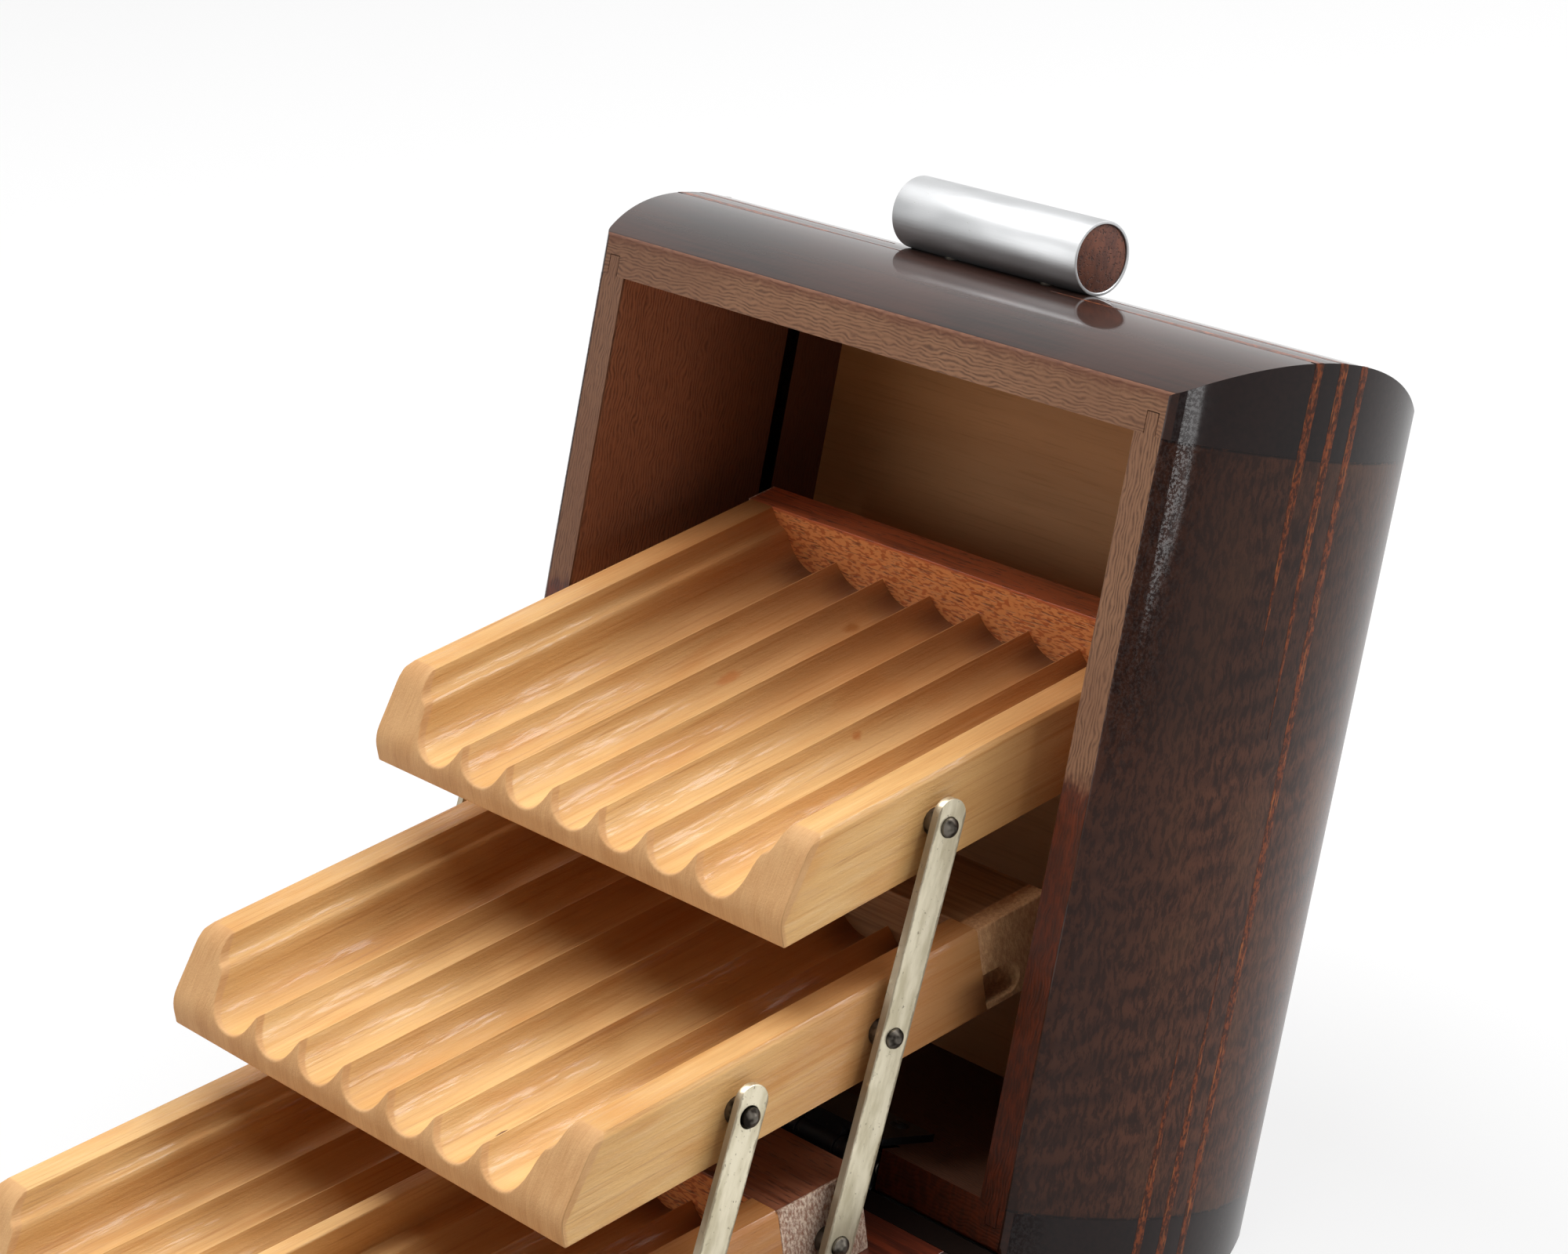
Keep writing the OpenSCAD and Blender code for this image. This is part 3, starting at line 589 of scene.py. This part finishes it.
KNOT, SPOT, BROWN = shade_of(92, 60, 40), shade_of(198, 132, 74), shade_of(166, 104, 52)
BOTTOM_MARKS = [((-26.7, 12.0, 3.2), (0.8, 0.6, 0.4), KNOT)]
MIDDLE_MARKS = [((19.2, 8.1, 2.9), (1.8, 0.8, 0.4), KNOT)]
TOP_MARKS = [((-17.3, 24.0, 4.0), (1.4, 0.9, 0.6), SPOT), ((15.0, 35.5, 4.0), (1.5, 0.9, 0.6), SPOT),
             ((-12.7, 37.6, 4.0), (1.4, 0.4, 0.6), SPOT), ((-11.2, 57.7, 4.0), (1.0, 0.6, 0.4), BROWN)]
for tray, place, shift, marks in (("bottom_tray", BOTTOM, 3.0, BOTTOM_MARKS),
                                  ("middle_tray", MIDDLE, 41.0, MIDDLE_MARKS),
                                  ("top_tray", TOP, 83.0, TOP_MARKS)):
    wood = finish(tray + "_wood", place, pale_board(shift, marks))
    board = grooved_board(tray + "_wood", place, tray != "bottom_tray")
    stands_for(coated(board, [wood]), tray + "_board")
from_solid("bottom_tray_divider", "bottom_tray_strip", 0.3, [bpy.data.materials["bottom_tray_wood"]])

# ---- blocks behind the trays ----
# Short blocks glued behind the boards: red-brown on the bottom and top trays, pale and notched
# on the middle one. Their ends are left as the saw cut them.


def red_block(shift, top):
    """Red-brown wood: varnished on top, spotted like a cut across the rays on the face that
    looks over the board, and torn pale by the saw at its ends."""
    def paint(q):
        p = turned_grain(q, "X") + (shift, shift, shift * 0.6)
        grain = p.noise((1.5, 0.05, 1.5), 3.0, 0.62, 0.3)
        pore = p.noise((3.6, 0.35, 3.6), 1.0).rise(0.58, 0.68)
        mottle = wavy(q, (0.3, 0.3, 0.3), (0.5, 0.5, 0.4)).noise((0.8, 0.6, 2.4), 1.0, 0.5)
        face = (q.part("Z") - TRAY_H).rise(-0.25, -0.6) * (q.part("Y") - BOARD_L).rise(1.2, 0.4)
        saw = abs(q.part("X")).rise(TRAY_W / 2 - 0.5, TRAY_W / 2 - 0.25)
        colour = blended(top, shade_of(92, 38, 18), grain.rise(0.4, 0.75) * 0.7)
        spotted = blended(shade_of(240, 162, 98), shade_of(196, 110, 60), mottle.rise(0.48, 0.6))
        colour = blended(colour, spotted, face * 0.9)
        rough = q.noise((2.6, 2.6, 1.2), 4.0, 0.75)
        torn = blended(shade_of(168, 122, 98), shade_of(250, 230, 208), rough.rise(0.38, 0.64))
        colour = blended(colour, torn, saw * 0.9)
        colour = blended(colour, shade_of(52, 22, 14), pore * 0.55 * (1 - saw))
        return {"Base Color": colour, "Roughness": 0.42 + saw * 0.4, "Coat Weight": 0.4 - saw * 0.4,
                "Coat Roughness": 0.2, "relief": (grain * 0.25 - pore) * 0.04 + rough * saw * 0.3}
    return paint


def pale_block(q):
    """Pale brown wood, lighter and rougher where the saw and the notch cut its ends."""
    p = turned_grain(q, "X") + (17.0, 3.0, 9.0)
    grain = p.noise((1.4, 0.03, 1.4), 3.0, 0.62, 0.3)
    rough = q.noise((2.2, 2.2, 1.1), 4.0, 0.7)
    saw = abs(q.part("X")).rise(TRAY_W / 2 - 3.4, TRAY_W / 2 - 2.9)
    smooth = blended(shade_of(148, 108, 72), shade_of(116, 80, 48), grain.rise(0.38, 0.68))
    torn = blended(shade_of(184, 134, 90), shade_of(216, 168, 120), rough.rise(0.35, 0.7))
    return {"Base Color": blended(smooth, torn, saw), "Roughness": 0.6, "Specular IOR Level": 0.35,
            "relief": grain * 0.03 + rough * saw * 0.2}


for tray, place, paint in (("bottom_tray", BOTTOM, red_block(7.0, shade_of(138, 84, 60))),
                           ("middle_tray", MIDDLE, pale_block),
                           ("top_tray", TOP, red_block(29.0, shade_of(210, 112, 68)))):
    from_solid(tray + "_block", tray + "_heel", 0.25, [finish(tray + "_heel_wood", place, paint)])

# ---- tray pins and studs ----
# Shouldered steel pins driven into the trays' sides, with turned points outside the bars, and
# two plain studs in the ends of the top block.
for node, name in (("bottom_tray_pins", "bottom_pins"), ("middle_tray_pins", "middle_pins"),
                   ("top_tray_pins", "top_pins"), ("top_tray_studs", "lid_studs")):
    from_solid(node, name, 0.06, [steel_dark])

# ---- swinging bars ----
# Flat bars sheared from nickel-plated strip, with drilled holes and edges where the plating is
# worn and pitted.
SHORT_SLOPE = math.radians(62.428)
SHORT_HEEL = Vector((0, TRAY_Y + BOARD_L - 16.512, BASE_H + 4.485))


def plated(shift):
    """Dull nickel, smeared along the bar, pitted, and worn dark along its edges."""
    def paint(q):
        p = q + (shift, shift * 3.1, 0.0)
        edge = abs(q.part("Z")) + p.noise((0.8, 0.35, 0.8), 3.0, 0.7) * 0.9
        worn = edge.rise(2.25, 2.6)
        pit = p.noise((2.4, 1.5, 2.4), 3.0, 0.7).rise(0.64, 0.7)
        smear = p.noise((0.5, 0.12, 0.5), 3.0, 0.6)
        colour = blended(shade_of(228, 219, 194), shade_of(196, 186, 158), smear.rise(0.35, 0.7))
        colour = blended(colour, shade_of(112, 96, 76), worn * 0.7)
        colour = blended(colour, shade_of(90, 76, 62), pit * 0.55)
        return {"Base Color": colour, "Metallic": 1.0 - pit * 0.4,
                "Roughness": 0.3 + smear * 0.16 + worn * 0.2, "relief": smear * 0.02 - pit * 0.03}
    return paint


for bar, heel, slope, shift in (("left_long", HEEL, BAR_SLOPE, 22.0),
                                ("left_short", SHORT_HEEL, SHORT_SLOPE, 23.0),
                                ("right_long", HEEL, BAR_SLOPE, 14.0),
                                ("right_short", SHORT_HEEL, SHORT_SLOPE, 15.0)):
    along_bar = Matrix.Translation(heel) @ Matrix.Rotation(slope, 4, "X")
    nickel = finish(bar + "_bar_nickel", along_bar, plated(shift))
    from_solid(bar + "_bar", bar + "_link", 0.16, [nickel])

# ---- lid walls ----
# Front and back boards run the full width with dark ends; the side boards between them are
# veneered. All swell outward and are lacquered outside, sanded bare on the rim and inside.
LID_H, BULGE, PANEL_T, PANEL_IN = 43.9, 6.4, 1.9, 2.5
SIDE_T = 5.3
INNER_X, INNER_Y = HALF_X - SIDE_T, HALF_Y - END_T
RIM_Z = BASE_H + 0.25
OPEN_ANGLE = math.radians(111.46)
AXIS = Vector((0, HALF_Y - 2.53, BASE_H + 1.35))
OPEN = (Matrix.Translation(AXIS) @ Matrix.Rotation(-OPEN_ANGLE, 4, "X") @ Matrix.Translation(-AXIS)
        @ Matrix.Translation((0, 0, RIM_Z)))
TRACK_Z, TRACK_W, TRACK_D = 31.3, 2.2, 2.4


def bow(w):
    """How far a face swells out at w above the rim."""
    radius = ((LID_H / 2) ** 2 + BULGE ** 2) / (2 * BULGE)
    return BULGE - radius + math.sqrt(radius ** 2 - (w - LID_H / 2) ** 2)


def rounding(w, drop, reach):
    """How far a face draws back near the rim and near the top."""
    t = min(w, LID_H - w) / reach
    return drop * (1 - math.sqrt(1 - (1 - t) ** 2)) if t < 1 else 0.0


def lid_x(w): return HALF_X + bow(w) - rounding(w, 0.85, 1.3)
def lid_y(w): return HALF_Y + bow(w) - rounding(w, 0.3, 0.45)


def lid_levels():
    """Heights above the rim at which a wall is drawn, closest near the rim and the top."""
    near = [0, 0.02, 0.07, 0.15, 0.26, 0.4, 0.58, 0.8, 1.05, 1.3]
    middle = [1.3 + (LID_H - 2.6) * k / 48 for k in range(1, 48)]
    return near + middle + [LID_H - w for w in reversed(near)]


def lid_wall(name, inner, outer):
    """A wall whose plan at height w is the rectangle from inner(w) to outer(w)."""
    points, faces = [], []
    for w in lid_levels():
        (x0, y0), (x1, y1) = inner(w), outer(w)
        points += [(x0, y0, w), (x1, y0, w), (x1, y1, w), (x0, y1, w)]
    for k in range(len(points) // 4 - 1):
        a = 4 * k
        faces += [(a + i, a + (i + 1) % 4, a + 4 + (i + 1) % 4, a + 4 + i) for i in range(4)]
    last = len(points) - 4
    faces += [(3, 2, 1, 0), (last, last + 1, last + 2, last + 3)]
    return rebuilt(mesh_piece(name, points, faces, OPEN))


def seat_tool():
    """The rabbet that the top panel lies in, a little roomier than the panel."""
    gap = 0.03
    x, y = INNER_X + PANEL_IN + gap, INNER_Y + PANEL_IN + gap
    return blocks("seat_tool", [((-x, -y, LID_H - PANEL_T - gap), (x, y, LID_H + 2))], OPEN)


def tongues(corners, gap):
    """The tongues of the side walls at corners (side, end), or with a gap their grooves."""
    foot, top = -1.0 if gap else 0.0, LID_H - PANEL_T
    return blocks("tongue_tool", [((side * (INNER_X + 1.6 - gap), end * (INNER_Y - 0.1), foot),
                                   (side * (INNER_X + 3.4 + gap), end * (INNER_Y + 2.7 + gap), top))
                                  for side, end in corners], OPEN)


def lid_face(centre, normal):
    """0 lacquered outside, 1 bare on the rim and inside."""
    w = min(max(centre.z, 0.0), LID_H)
    side, end = abs(abs(centre.x) - lid_x(w)), abs(abs(centre.y) - lid_y(w))
    return 0 if side < 0.12 or (end < 0.12 and w > 0.3) or centre.z > LID_H - 0.2 else 1


def lid_bare(along, shift):
    """Sanded wood, redder inside the lid, with painted shade darkening it there towards the panel and the
    back. On the rim, stain has crept in at the outer edges and soaked the rear half, and the left is darker."""
    light, dark, tone = shade_of(144, 105, 78), shade_of(64, 39, 26), shade_of(116, 78, 55)

    def paint(point):
        marks = flecks(point, along, shift)
        inside = point.part("Z").rise(0.15, 0.5)
        red = flecked(marks, shade_of(170, 112, 80), shade_of(94, 57, 40), shade_of(134, 84, 59))
        # Painted shade: darker deeper inside the lid towards the panel, and towards the back wall by the
        # hinges.
        red = blended(red, shade_of(84, 50, 34), point.part("Z").rise(9.0, 36.0) * 0.85)
        red = blended(red, shade_of(50, 30, 20), point.part("Y").rise(16.0, 46.0) * 0.7)
        edge = point.noise((0.9, 0.35, 0.9), 3.0, 0.6)
        creep = (abs(point.part("Y")) + edge * 2.4).rise(HALF_Y - 0.5, HALF_Y + 1.1)
        bare = blended(flecked(marks, light, dark, tone), shade_of(92, 50, 34), creep * 0.6)
        bare = blended(bare, shade_of(84, 52, 38), point.part("X").rise(-16.0, -50.0) * 0.4)
        colour = blended(bare, red, inside)
        low = (point.part("Y") + edge * 7.0).rise(-3.5, -0.5)
        stain = blended(shade_of(94, 38, 15), shade_of(50, 21, 9),
                        edge.rise(0.35, 0.6) * 0.6 + marks[0] * 0.4)
        colour = blended(colour, stain, low * (1 - inside))
        return {"Base Color": colour, "Roughness": 0.62 + marks[1] * 0.2 - low * 0.2 * (1 - inside),
                "relief": (marks[1] * 0.3 - marks[0]) * 0.025, "Specular IOR Level": 0.3}
    return paint


def end_face(centre, normal):
    """As lid_face, with 2 for the end grain at the board's own ends and 3 for the painted shade beside the
    hinges.
    """
    face = lid_face(centre, normal)
    if (face == 0 and centre.y > HALF_Y - 1 and centre.z < 2.3) or \
            (face == 1 and centre.y > INNER_Y + 0.3 and 0.3 < centre.z < 6):
        return 3
    return 2 if face == 0 and abs(normal.x) > 0.7 else face


# Painted shade on the back board's faces in the gap beside the hinges.
back_hinge_shade = finish("back_painted_hinge_shade", OPEN, painted_hinge_shade)
end_paint = lacquer(shade_of(17, 9, 9), shade_of(32, 18, 16), 12.0, 0.6)
end_gloss = finish("end_grain_lacquer", OPEN, end_paint)
front_gloss = finish("front_lacquer", OPEN, lacquer(*LACQUER))
back_gloss = finish("back_lacquer", OPEN, lacquer(*LACQUER, 60.0))
side_veneer = finish("side_veneer", OPEN, veneer())
bare_x = finish("lid_end_bare_wood", OPEN, lid_bare("X", 0.0))
bare_y = finish("lid_side_bare_wood", OPEN, lid_bare("Y", 22.0))


# Near-black painted shade for the walls of the track cut into the side walls.
def track_shade_paint(q):
    grit = q.noise((2.0, 0.3, 2.0), 3.0, 0.6)
    return {"Base Color": blended(shade_of(24, 14, 11), shade_of(48, 28, 20), grit), "Roughness": 0.7,
            "relief": grit * 0.03}


track = finish("track_shade_paint", OPEN, track_shade_paint)

front = lid_wall("lid_front_board", lambda w: (-lid_x(w), -lid_y(w)), lambda w: (lid_x(w), -INNER_Y))
back = lid_wall("lid_back_board", lambda w: (-lid_x(w), INNER_Y), lambda w: (lid_x(w), lid_y(w)))
left = lid_wall("lid_left_board", lambda w: (-lid_x(w), -INNER_Y), lambda w: (-INNER_X, INNER_Y))
right = lid_wall("lid_right_board", lambda w: (INNER_X, -INNER_Y), lambda w: (lid_x(w), INNER_Y))
CUT_HALF, CUT_TOP = 11.8, AXIS.z - RIM_Z + 2.15
for wall, end in ((front, -1), (back, 1)):
    carved(wall, seat_tool())
    carved(wall, tongues([(-1, end), (1, end)], 0.11))
carved(back, blocks("hinge_tool", [((side * HINGE_X - CUT_HALF, INNER_Y - 1, -2.0),
                                    (side * HINGE_X + CUT_HALF, HALF_Y + 9, CUT_TOP))
                                   for side in (-1, 1)], OPEN))
for wall, side in ((left, -1), (right, 1)):
    carved(wall, tongues([(side, -1), (side, 1)], 0.0), "UNION")
    carved(wall, seat_tool())
    carved(wall, blocks("track_tool", [((side * (INNER_X - 1), -INNER_Y, TRACK_Z),
                                        (side * (INNER_X + TRACK_D), INNER_Y, TRACK_Z + TRACK_W))], OPEN))


def side_face(centre, normal):
    """As lid_face, with 2 for the walls of the track, which carry painted shade."""
    across, up = abs(centre.x) - INNER_X, centre.z - TRACK_Z
    in_track = -0.05 < up < TRACK_W + 0.05 and 0.05 < across < TRACK_D + 0.1
    return 2 if in_track and abs(centre.y) < INNER_Y + 0.1 else lid_face(centre, normal)


for wall, side, finishes, pick in ((front, "front", [front_gloss, bare_x, end_gloss], end_face),
                                   (back, "back", [back_gloss, bare_x, end_gloss, back_hinge_shade], end_face),
                                   (left, "left", [side_veneer, bare_y, track], side_face),
                                   (right, "right", [side_veneer, bare_y, track], side_face)):
    stands_for(coated(eased(wall, 0.1), finishes, pick, OPEN), f"lid_{side}_wall")

# ---- lid top panel ----
# A thin ply panel set into a rabbet round the walls: smooth and bare inside, veneered and
# lacquered like the sides outside.
panel_ply = finish("panel_ply", OPEN, plain_ply(shade_of(190, 134, 80), shade_of(172, 118, 66), 7.0))
panel_veneer = finish("panel_veneer", OPEN, veneer(77.0))
from_solid("lid_top_panel", "lid_panel", 0.1, [panel_ply, panel_veneer],
           lambda centre, normal: 1 if normal.z > 0.5 else 0, OPEN)

# ---- inlaid lines ----
# Thin red-orange strips let into the swelling faces round each corner and along each side,
# pointed by hand at their ends and a little sunk under the lacquer.
LINE_W, LINE_Z = 1.3, (17.2, 21.3, 25.2)


def red_line(q):
    grit = q.noise((1.2, 1.2, 2.4), 2.0, 0.6)
    edge = q.noise((0.25, 0.25, 3.0), 2.0)
    colour = blended(shade_of(118, 56, 25), shade_of(58, 27, 14), grit.rise(0.35, 0.6))
    # The lighter streaks along the line are painted highlights on its edges.
    colour = blended(colour, shade_of(176, 104, 54), edge.rise(0.58, 0.7) * 0.6)
    return {"Base Color": colour, "Roughness": 0.55, "Coat Weight": 0.6, "Coat Roughness": 0.15,
            "Coat IOR": 1.24, "relief": grit * 0.05, "Specular IOR Level": 0.1}


def strips(name):
    """Every line as a low ribbon that follows the wall and wavers like a hand-cut one."""
    random.seed(5)
    points, faces = [], []

    def ribbon(along_x, sign, w, start, end, taper):
        lift, root = 0.04, -0.8
        steps = max(6, int(abs(end - start) / 1.5))
        ring = len(points)
        drift = [random.uniform(-0.03, 0.03) for _ in range(steps + 1)]
        for k in range(steps + 1):
            at = start + (end - start) * k / steps
            slim = min(1.0, (1 - k / steps) / taper) if taper else 1.0
            half = LINE_W / 2 * max(slim, 0.04) * (1 + random.uniform(-0.06, 0.06))
            section = ((-half, root), (half, root), (half, lift * 0.3), (0.0, lift), (-half, lift * 0.3))
            for dw, depth in section:
                ww = w + dw + drift[k]
                out = (lid_y(ww) if along_x else lid_x(ww)) + depth
                points.append((at, sign * out, ww) if along_x else (sign * out, at, ww))
        for k in range(steps):
            a, b = ring + 5 * k, ring + 5 * (k + 1)
            faces.extend((a + i, a + (i + 1) % 5, b + (i + 1) % 5, b + i) for i in range(5))
        faces.append(tuple(ring + i for i in range(5)))
        faces.append(tuple(ring + 5 * steps + 4 - i for i in range(5)))

    for i, (side_end, front_end) in enumerate(((29, 40), (40, 34))):
        w = LINE_Z[i]
        for s in (-1, 1):
            for e in (-1, 1):
                ribbon(False, s, w, e * (lid_y(w) - 0.02), e * (HALF_Y - side_end), 0.6)
                ribbon(True, e, w, s * (lid_x(w) - 0.02), s * (HALF_X - front_end), 0.6)
    for s in (-1, 1):
        ribbon(False, s, LINE_Z[2], -lid_y(LINE_Z[2]) + 0.02, lid_y(LINE_Z[2]) - 0.02, 0)
    return rebuilt(mesh_piece(name, points, faces, OPEN), sharp=40)


stands_for(coated(strips("corner_lines"), [finish("inlay_red", OPEN, red_line)]), "lid_inlay_lines")

# ---- hinges on the lid ----
# The lid's leaves are cranked round the inner edge of the back board's rim and screwed to its
# inner face.
from_solid("lid_hinge_leaves", "lid_leaves", 0.1, [paint_black])
LEAF_Y, HEAD_Z = INNER_Y - 1, AXIS.z + 6 - RIM_Z
slotted("lid_hinge_screws", "lid_leaf_screws", LEAF_SCREWS, (-2, LEAF_Y - 1.2, HEAD_Z - 0.1),
        (2, LEAF_Y - 0.25, HEAD_Z + 0.1), 0.03, paint_black, OPEN)

# ---- handle ----
# A length of thin aluminium tube slipped over a red-brown dowel cut flush with its ends. Two
# screws from inside the lid hold it against the swell of the front board.
HANDLE_L, HANDLE_R, HANDLE_WALL, LIP = 34.6, 4.85, 0.45, 0.14
HANDLE = OPEN @ Matrix.Translation((0, -(HALF_Y + BULGE + HANDLE_R), LID_H / 2))


def turned(name, outline, place):
    """A body turned on X from an outline of (x, radius), which closes on itself."""
    around, n = 128, len(outline)
    points, faces = [], []
    for k in range(around):
        angle = 2 * math.pi * k / around
        points += [(x, r * math.cos(angle), r * math.sin(angle)) for x, r in outline]
        a, b = k * n, (k + 1) % around * n
        faces += [(a + i, b + i, b + (i + 1) % n, a + (i + 1) % n) for i in range(n)]
    return rebuilt(mesh_piece(name, points, faces, place), weld=1e-7, sharp=40)


def satin_tube(q):
    brushed = q.noise((0.12, 5.0, 5.0), 3.0, 0.6)
    haze = q.noise((0.1, 0.3, 0.3), 1.0)
    nick = q.noise((1.5, 2.2, 2.2), 2.0, 0.6).rise(0.7, 0.76)
    colour = blended(shade_of(186, 187, 188), shade_of(172, 173, 174), haze.rise(0.35, 0.7))
    colour = blended(colour, shade_of(140, 138, 132), nick * 0.6)
    return {"Base Color": colour, "Metallic": 1.0, "Roughness": 0.38 + brushed * 0.12,
            "relief": brushed * 0.008 - nick * 0.02}


def dowel_end(q):
    pore = q.noise((0.8, 2.6, 2.6), 2.0, 0.6).rise(0.56, 0.66)
    ring = wavy(q, (0.2, 0.2, 0.2), (0.0, 2.0, 2.0)).noise((0.1, 0.35, 1.1), 2.0)
    colour = blended(shade_of(116, 66, 46), shade_of(86, 46, 32), ring.rise(0.35, 0.65))
    return {"Base Color": blended(colour, shade_of(54, 28, 20), pore * 0.8), "Roughness": 0.65,
            "relief": pore * -0.06}


def both_ends(half_outline):
    """An outline carried on to the other end, back to front."""
    return half_outline + [(-x, r) for x, r in reversed(half_outline)]


end_x, core_x = HANDLE_L / 2, HANDLE_L / 2 - 0.15
bore_r = HANDLE_R - HANDLE_WALL
tube_outline = both_ends([(end_x - LIP, HANDLE_R), (end_x - LIP * 0.3, HANDLE_R - LIP * 0.3),
                          (end_x, HANDLE_R - LIP), (end_x, bore_r + LIP * 0.6), (end_x - LIP * 0.6, bore_r)])
core_outline = both_ends([(core_x, 0.0), (core_x, bore_r - 0.2), (core_x - 0.12, bore_r - 0.02)])
tube = turned("handle_sleeve", tube_outline, HANDLE)
stands_for(coated(tube, [finish("satin_aluminium", HANDLE, satin_tube)]), "handle_tube")
dowel = turned("handle_dowel", core_outline, HANDLE)
stands_for(coated(dowel, [finish("dowel_wood", HANDLE, dowel_end)]), "handle_core")


def screw_steel(q):
    scuff = q.noise((1.8, 1.8, 1.8), 3.0, 0.6)
    return {"Base Color": blended(shade_of(92, 86, 78), shade_of(58, 50, 42), scuff.rise(0.4, 0.7)),
            "Metallic": 0.8, "Roughness": 0.45 + scuff * 0.25, "relief": scuff * 0.02}


slotted("handle_screws", "handle_fixings", (-9, 9), (-3, -INNER_Y - 0.7, LID_H / 2 - 0.3),
        (3, -INNER_Y + 1, LID_H / 2 + 0.3), 0.05, finish("screw_steel", OPEN, screw_steel), OPEN)

# ---- studio ----
# A plain white floor and surroundings. Five large soft lamps: left, rear and top do most of the
# work, front and side fill in. A small one low on the right glints off the lacquer by the rim.
FLOOR, WHITE = 1500, (1, 1, 1, 1)
floor = mesh_piece("floor", [(-FLOOR, -FLOOR, 0), (FLOOR, -FLOOR, 0), (FLOOR, FLOOR, 0), (-FLOOR, FLOOR, 0)],
                   [(0, 1, 2, 3)])
floor_white = bpy.data.materials.new("floor_white")
rig = empty_rig(floor_white)
seen = rig.node("LightPath", out="Is Camera Ray").most(rig.node("LightPath", out="Is Glossy Ray"))
matt = rig.node("BsdfDiffuse", (), {"Color": (0.8, 0.8, 0.8, 1)})
glow = rig.node("Emission", (), {"Color": WHITE, "Strength": 1.0})
mix = rig.node("MixShader", (), {0: seen * 0.72, 1: matt, 2: glow})
rig.node("OutputMaterial", (), {"Surface": mix})
floor.data.materials.append(floor_white)

world = bpy.data.worlds.new("studio")
bpy.context.scene.world = world
rig = empty_rig(world)
seen = rig.node("LightPath", out="Is Camera Ray").most(rig.node("LightPath", out="Is Glossy Ray"))
seen = seen.most(rig.node("LightPath", out="Is Transmission Ray"))
glow = rig.node("Background", (), {"Color": WHITE, "Strength": 0.05 + seen * 0.95})
rig.node("OutputWorld", (), {"Surface": glow})
BOX_MIDDLE, SOFT = (0, 0, 0.06), 0.6


def lamp(name, at, toward, size, power):
    light = bpy.data.lights.new(name, "AREA")
    light.shape, light.size, light.energy = "SQUARE", size, power
    made = bpy.data.objects.new(name, light)
    bpy.context.scene.collection.objects.link(made)
    made.location = at
    made.rotation_euler = (Vector(toward) - Vector(at)).to_track_quat("-Z", "Y").to_euler()


lamp("left", (-0.57, -0.05, 1.0), BOX_MIDDLE, SOFT, 7.7)
lamp("rear", (0.35, 0.61, 0.9), BOX_MIDDLE, SOFT, 8.8)
lamp("top", (0.0, 0.0, 1.16), BOX_MIDDLE, SOFT, 4.6)
lamp("front", (-0.52, -0.91, 0.4), BOX_MIDDLE, SOFT, 2.4)
lamp("side", (0.6, 0.87, 0.4), BOX_MIDDLE, SOFT, 2.0)
lamp("glint", (0.985, -0.11, 0.085), (0, 0, 0.09), 0.11, 0.42)

camera_data = bpy.data.cameras.new("camera")
camera_data.sensor_width = 36.0
camera_data.lens = 94.685
camera_data.shift_x, camera_data.shift_y = 0.01045, 0.02545
camera_data.clip_start, camera_data.clip_end = 0.01, 20.0
camera = bpy.data.objects.new("camera", camera_data)
bpy.context.scene.collection.objects.link(camera)
RIGHT = Vector((0.64354884, 0.75822708, -0.10457815))
DOWN = Vector((0.25211332, -0.33899424, -0.90637838))
AHEAD = Vector((-0.72269202, 0.55693321, -0.4093185))
turn = Matrix((RIGHT, -DOWN, -AHEAD)).transposed().to_4x4()
camera.matrix_world = Matrix.Translation((0.37996, -0.2275, 0.28983)) @ turn
bpy.context.scene.camera = camera
bpy.context.scene.view_settings.view_transform = "Standard"
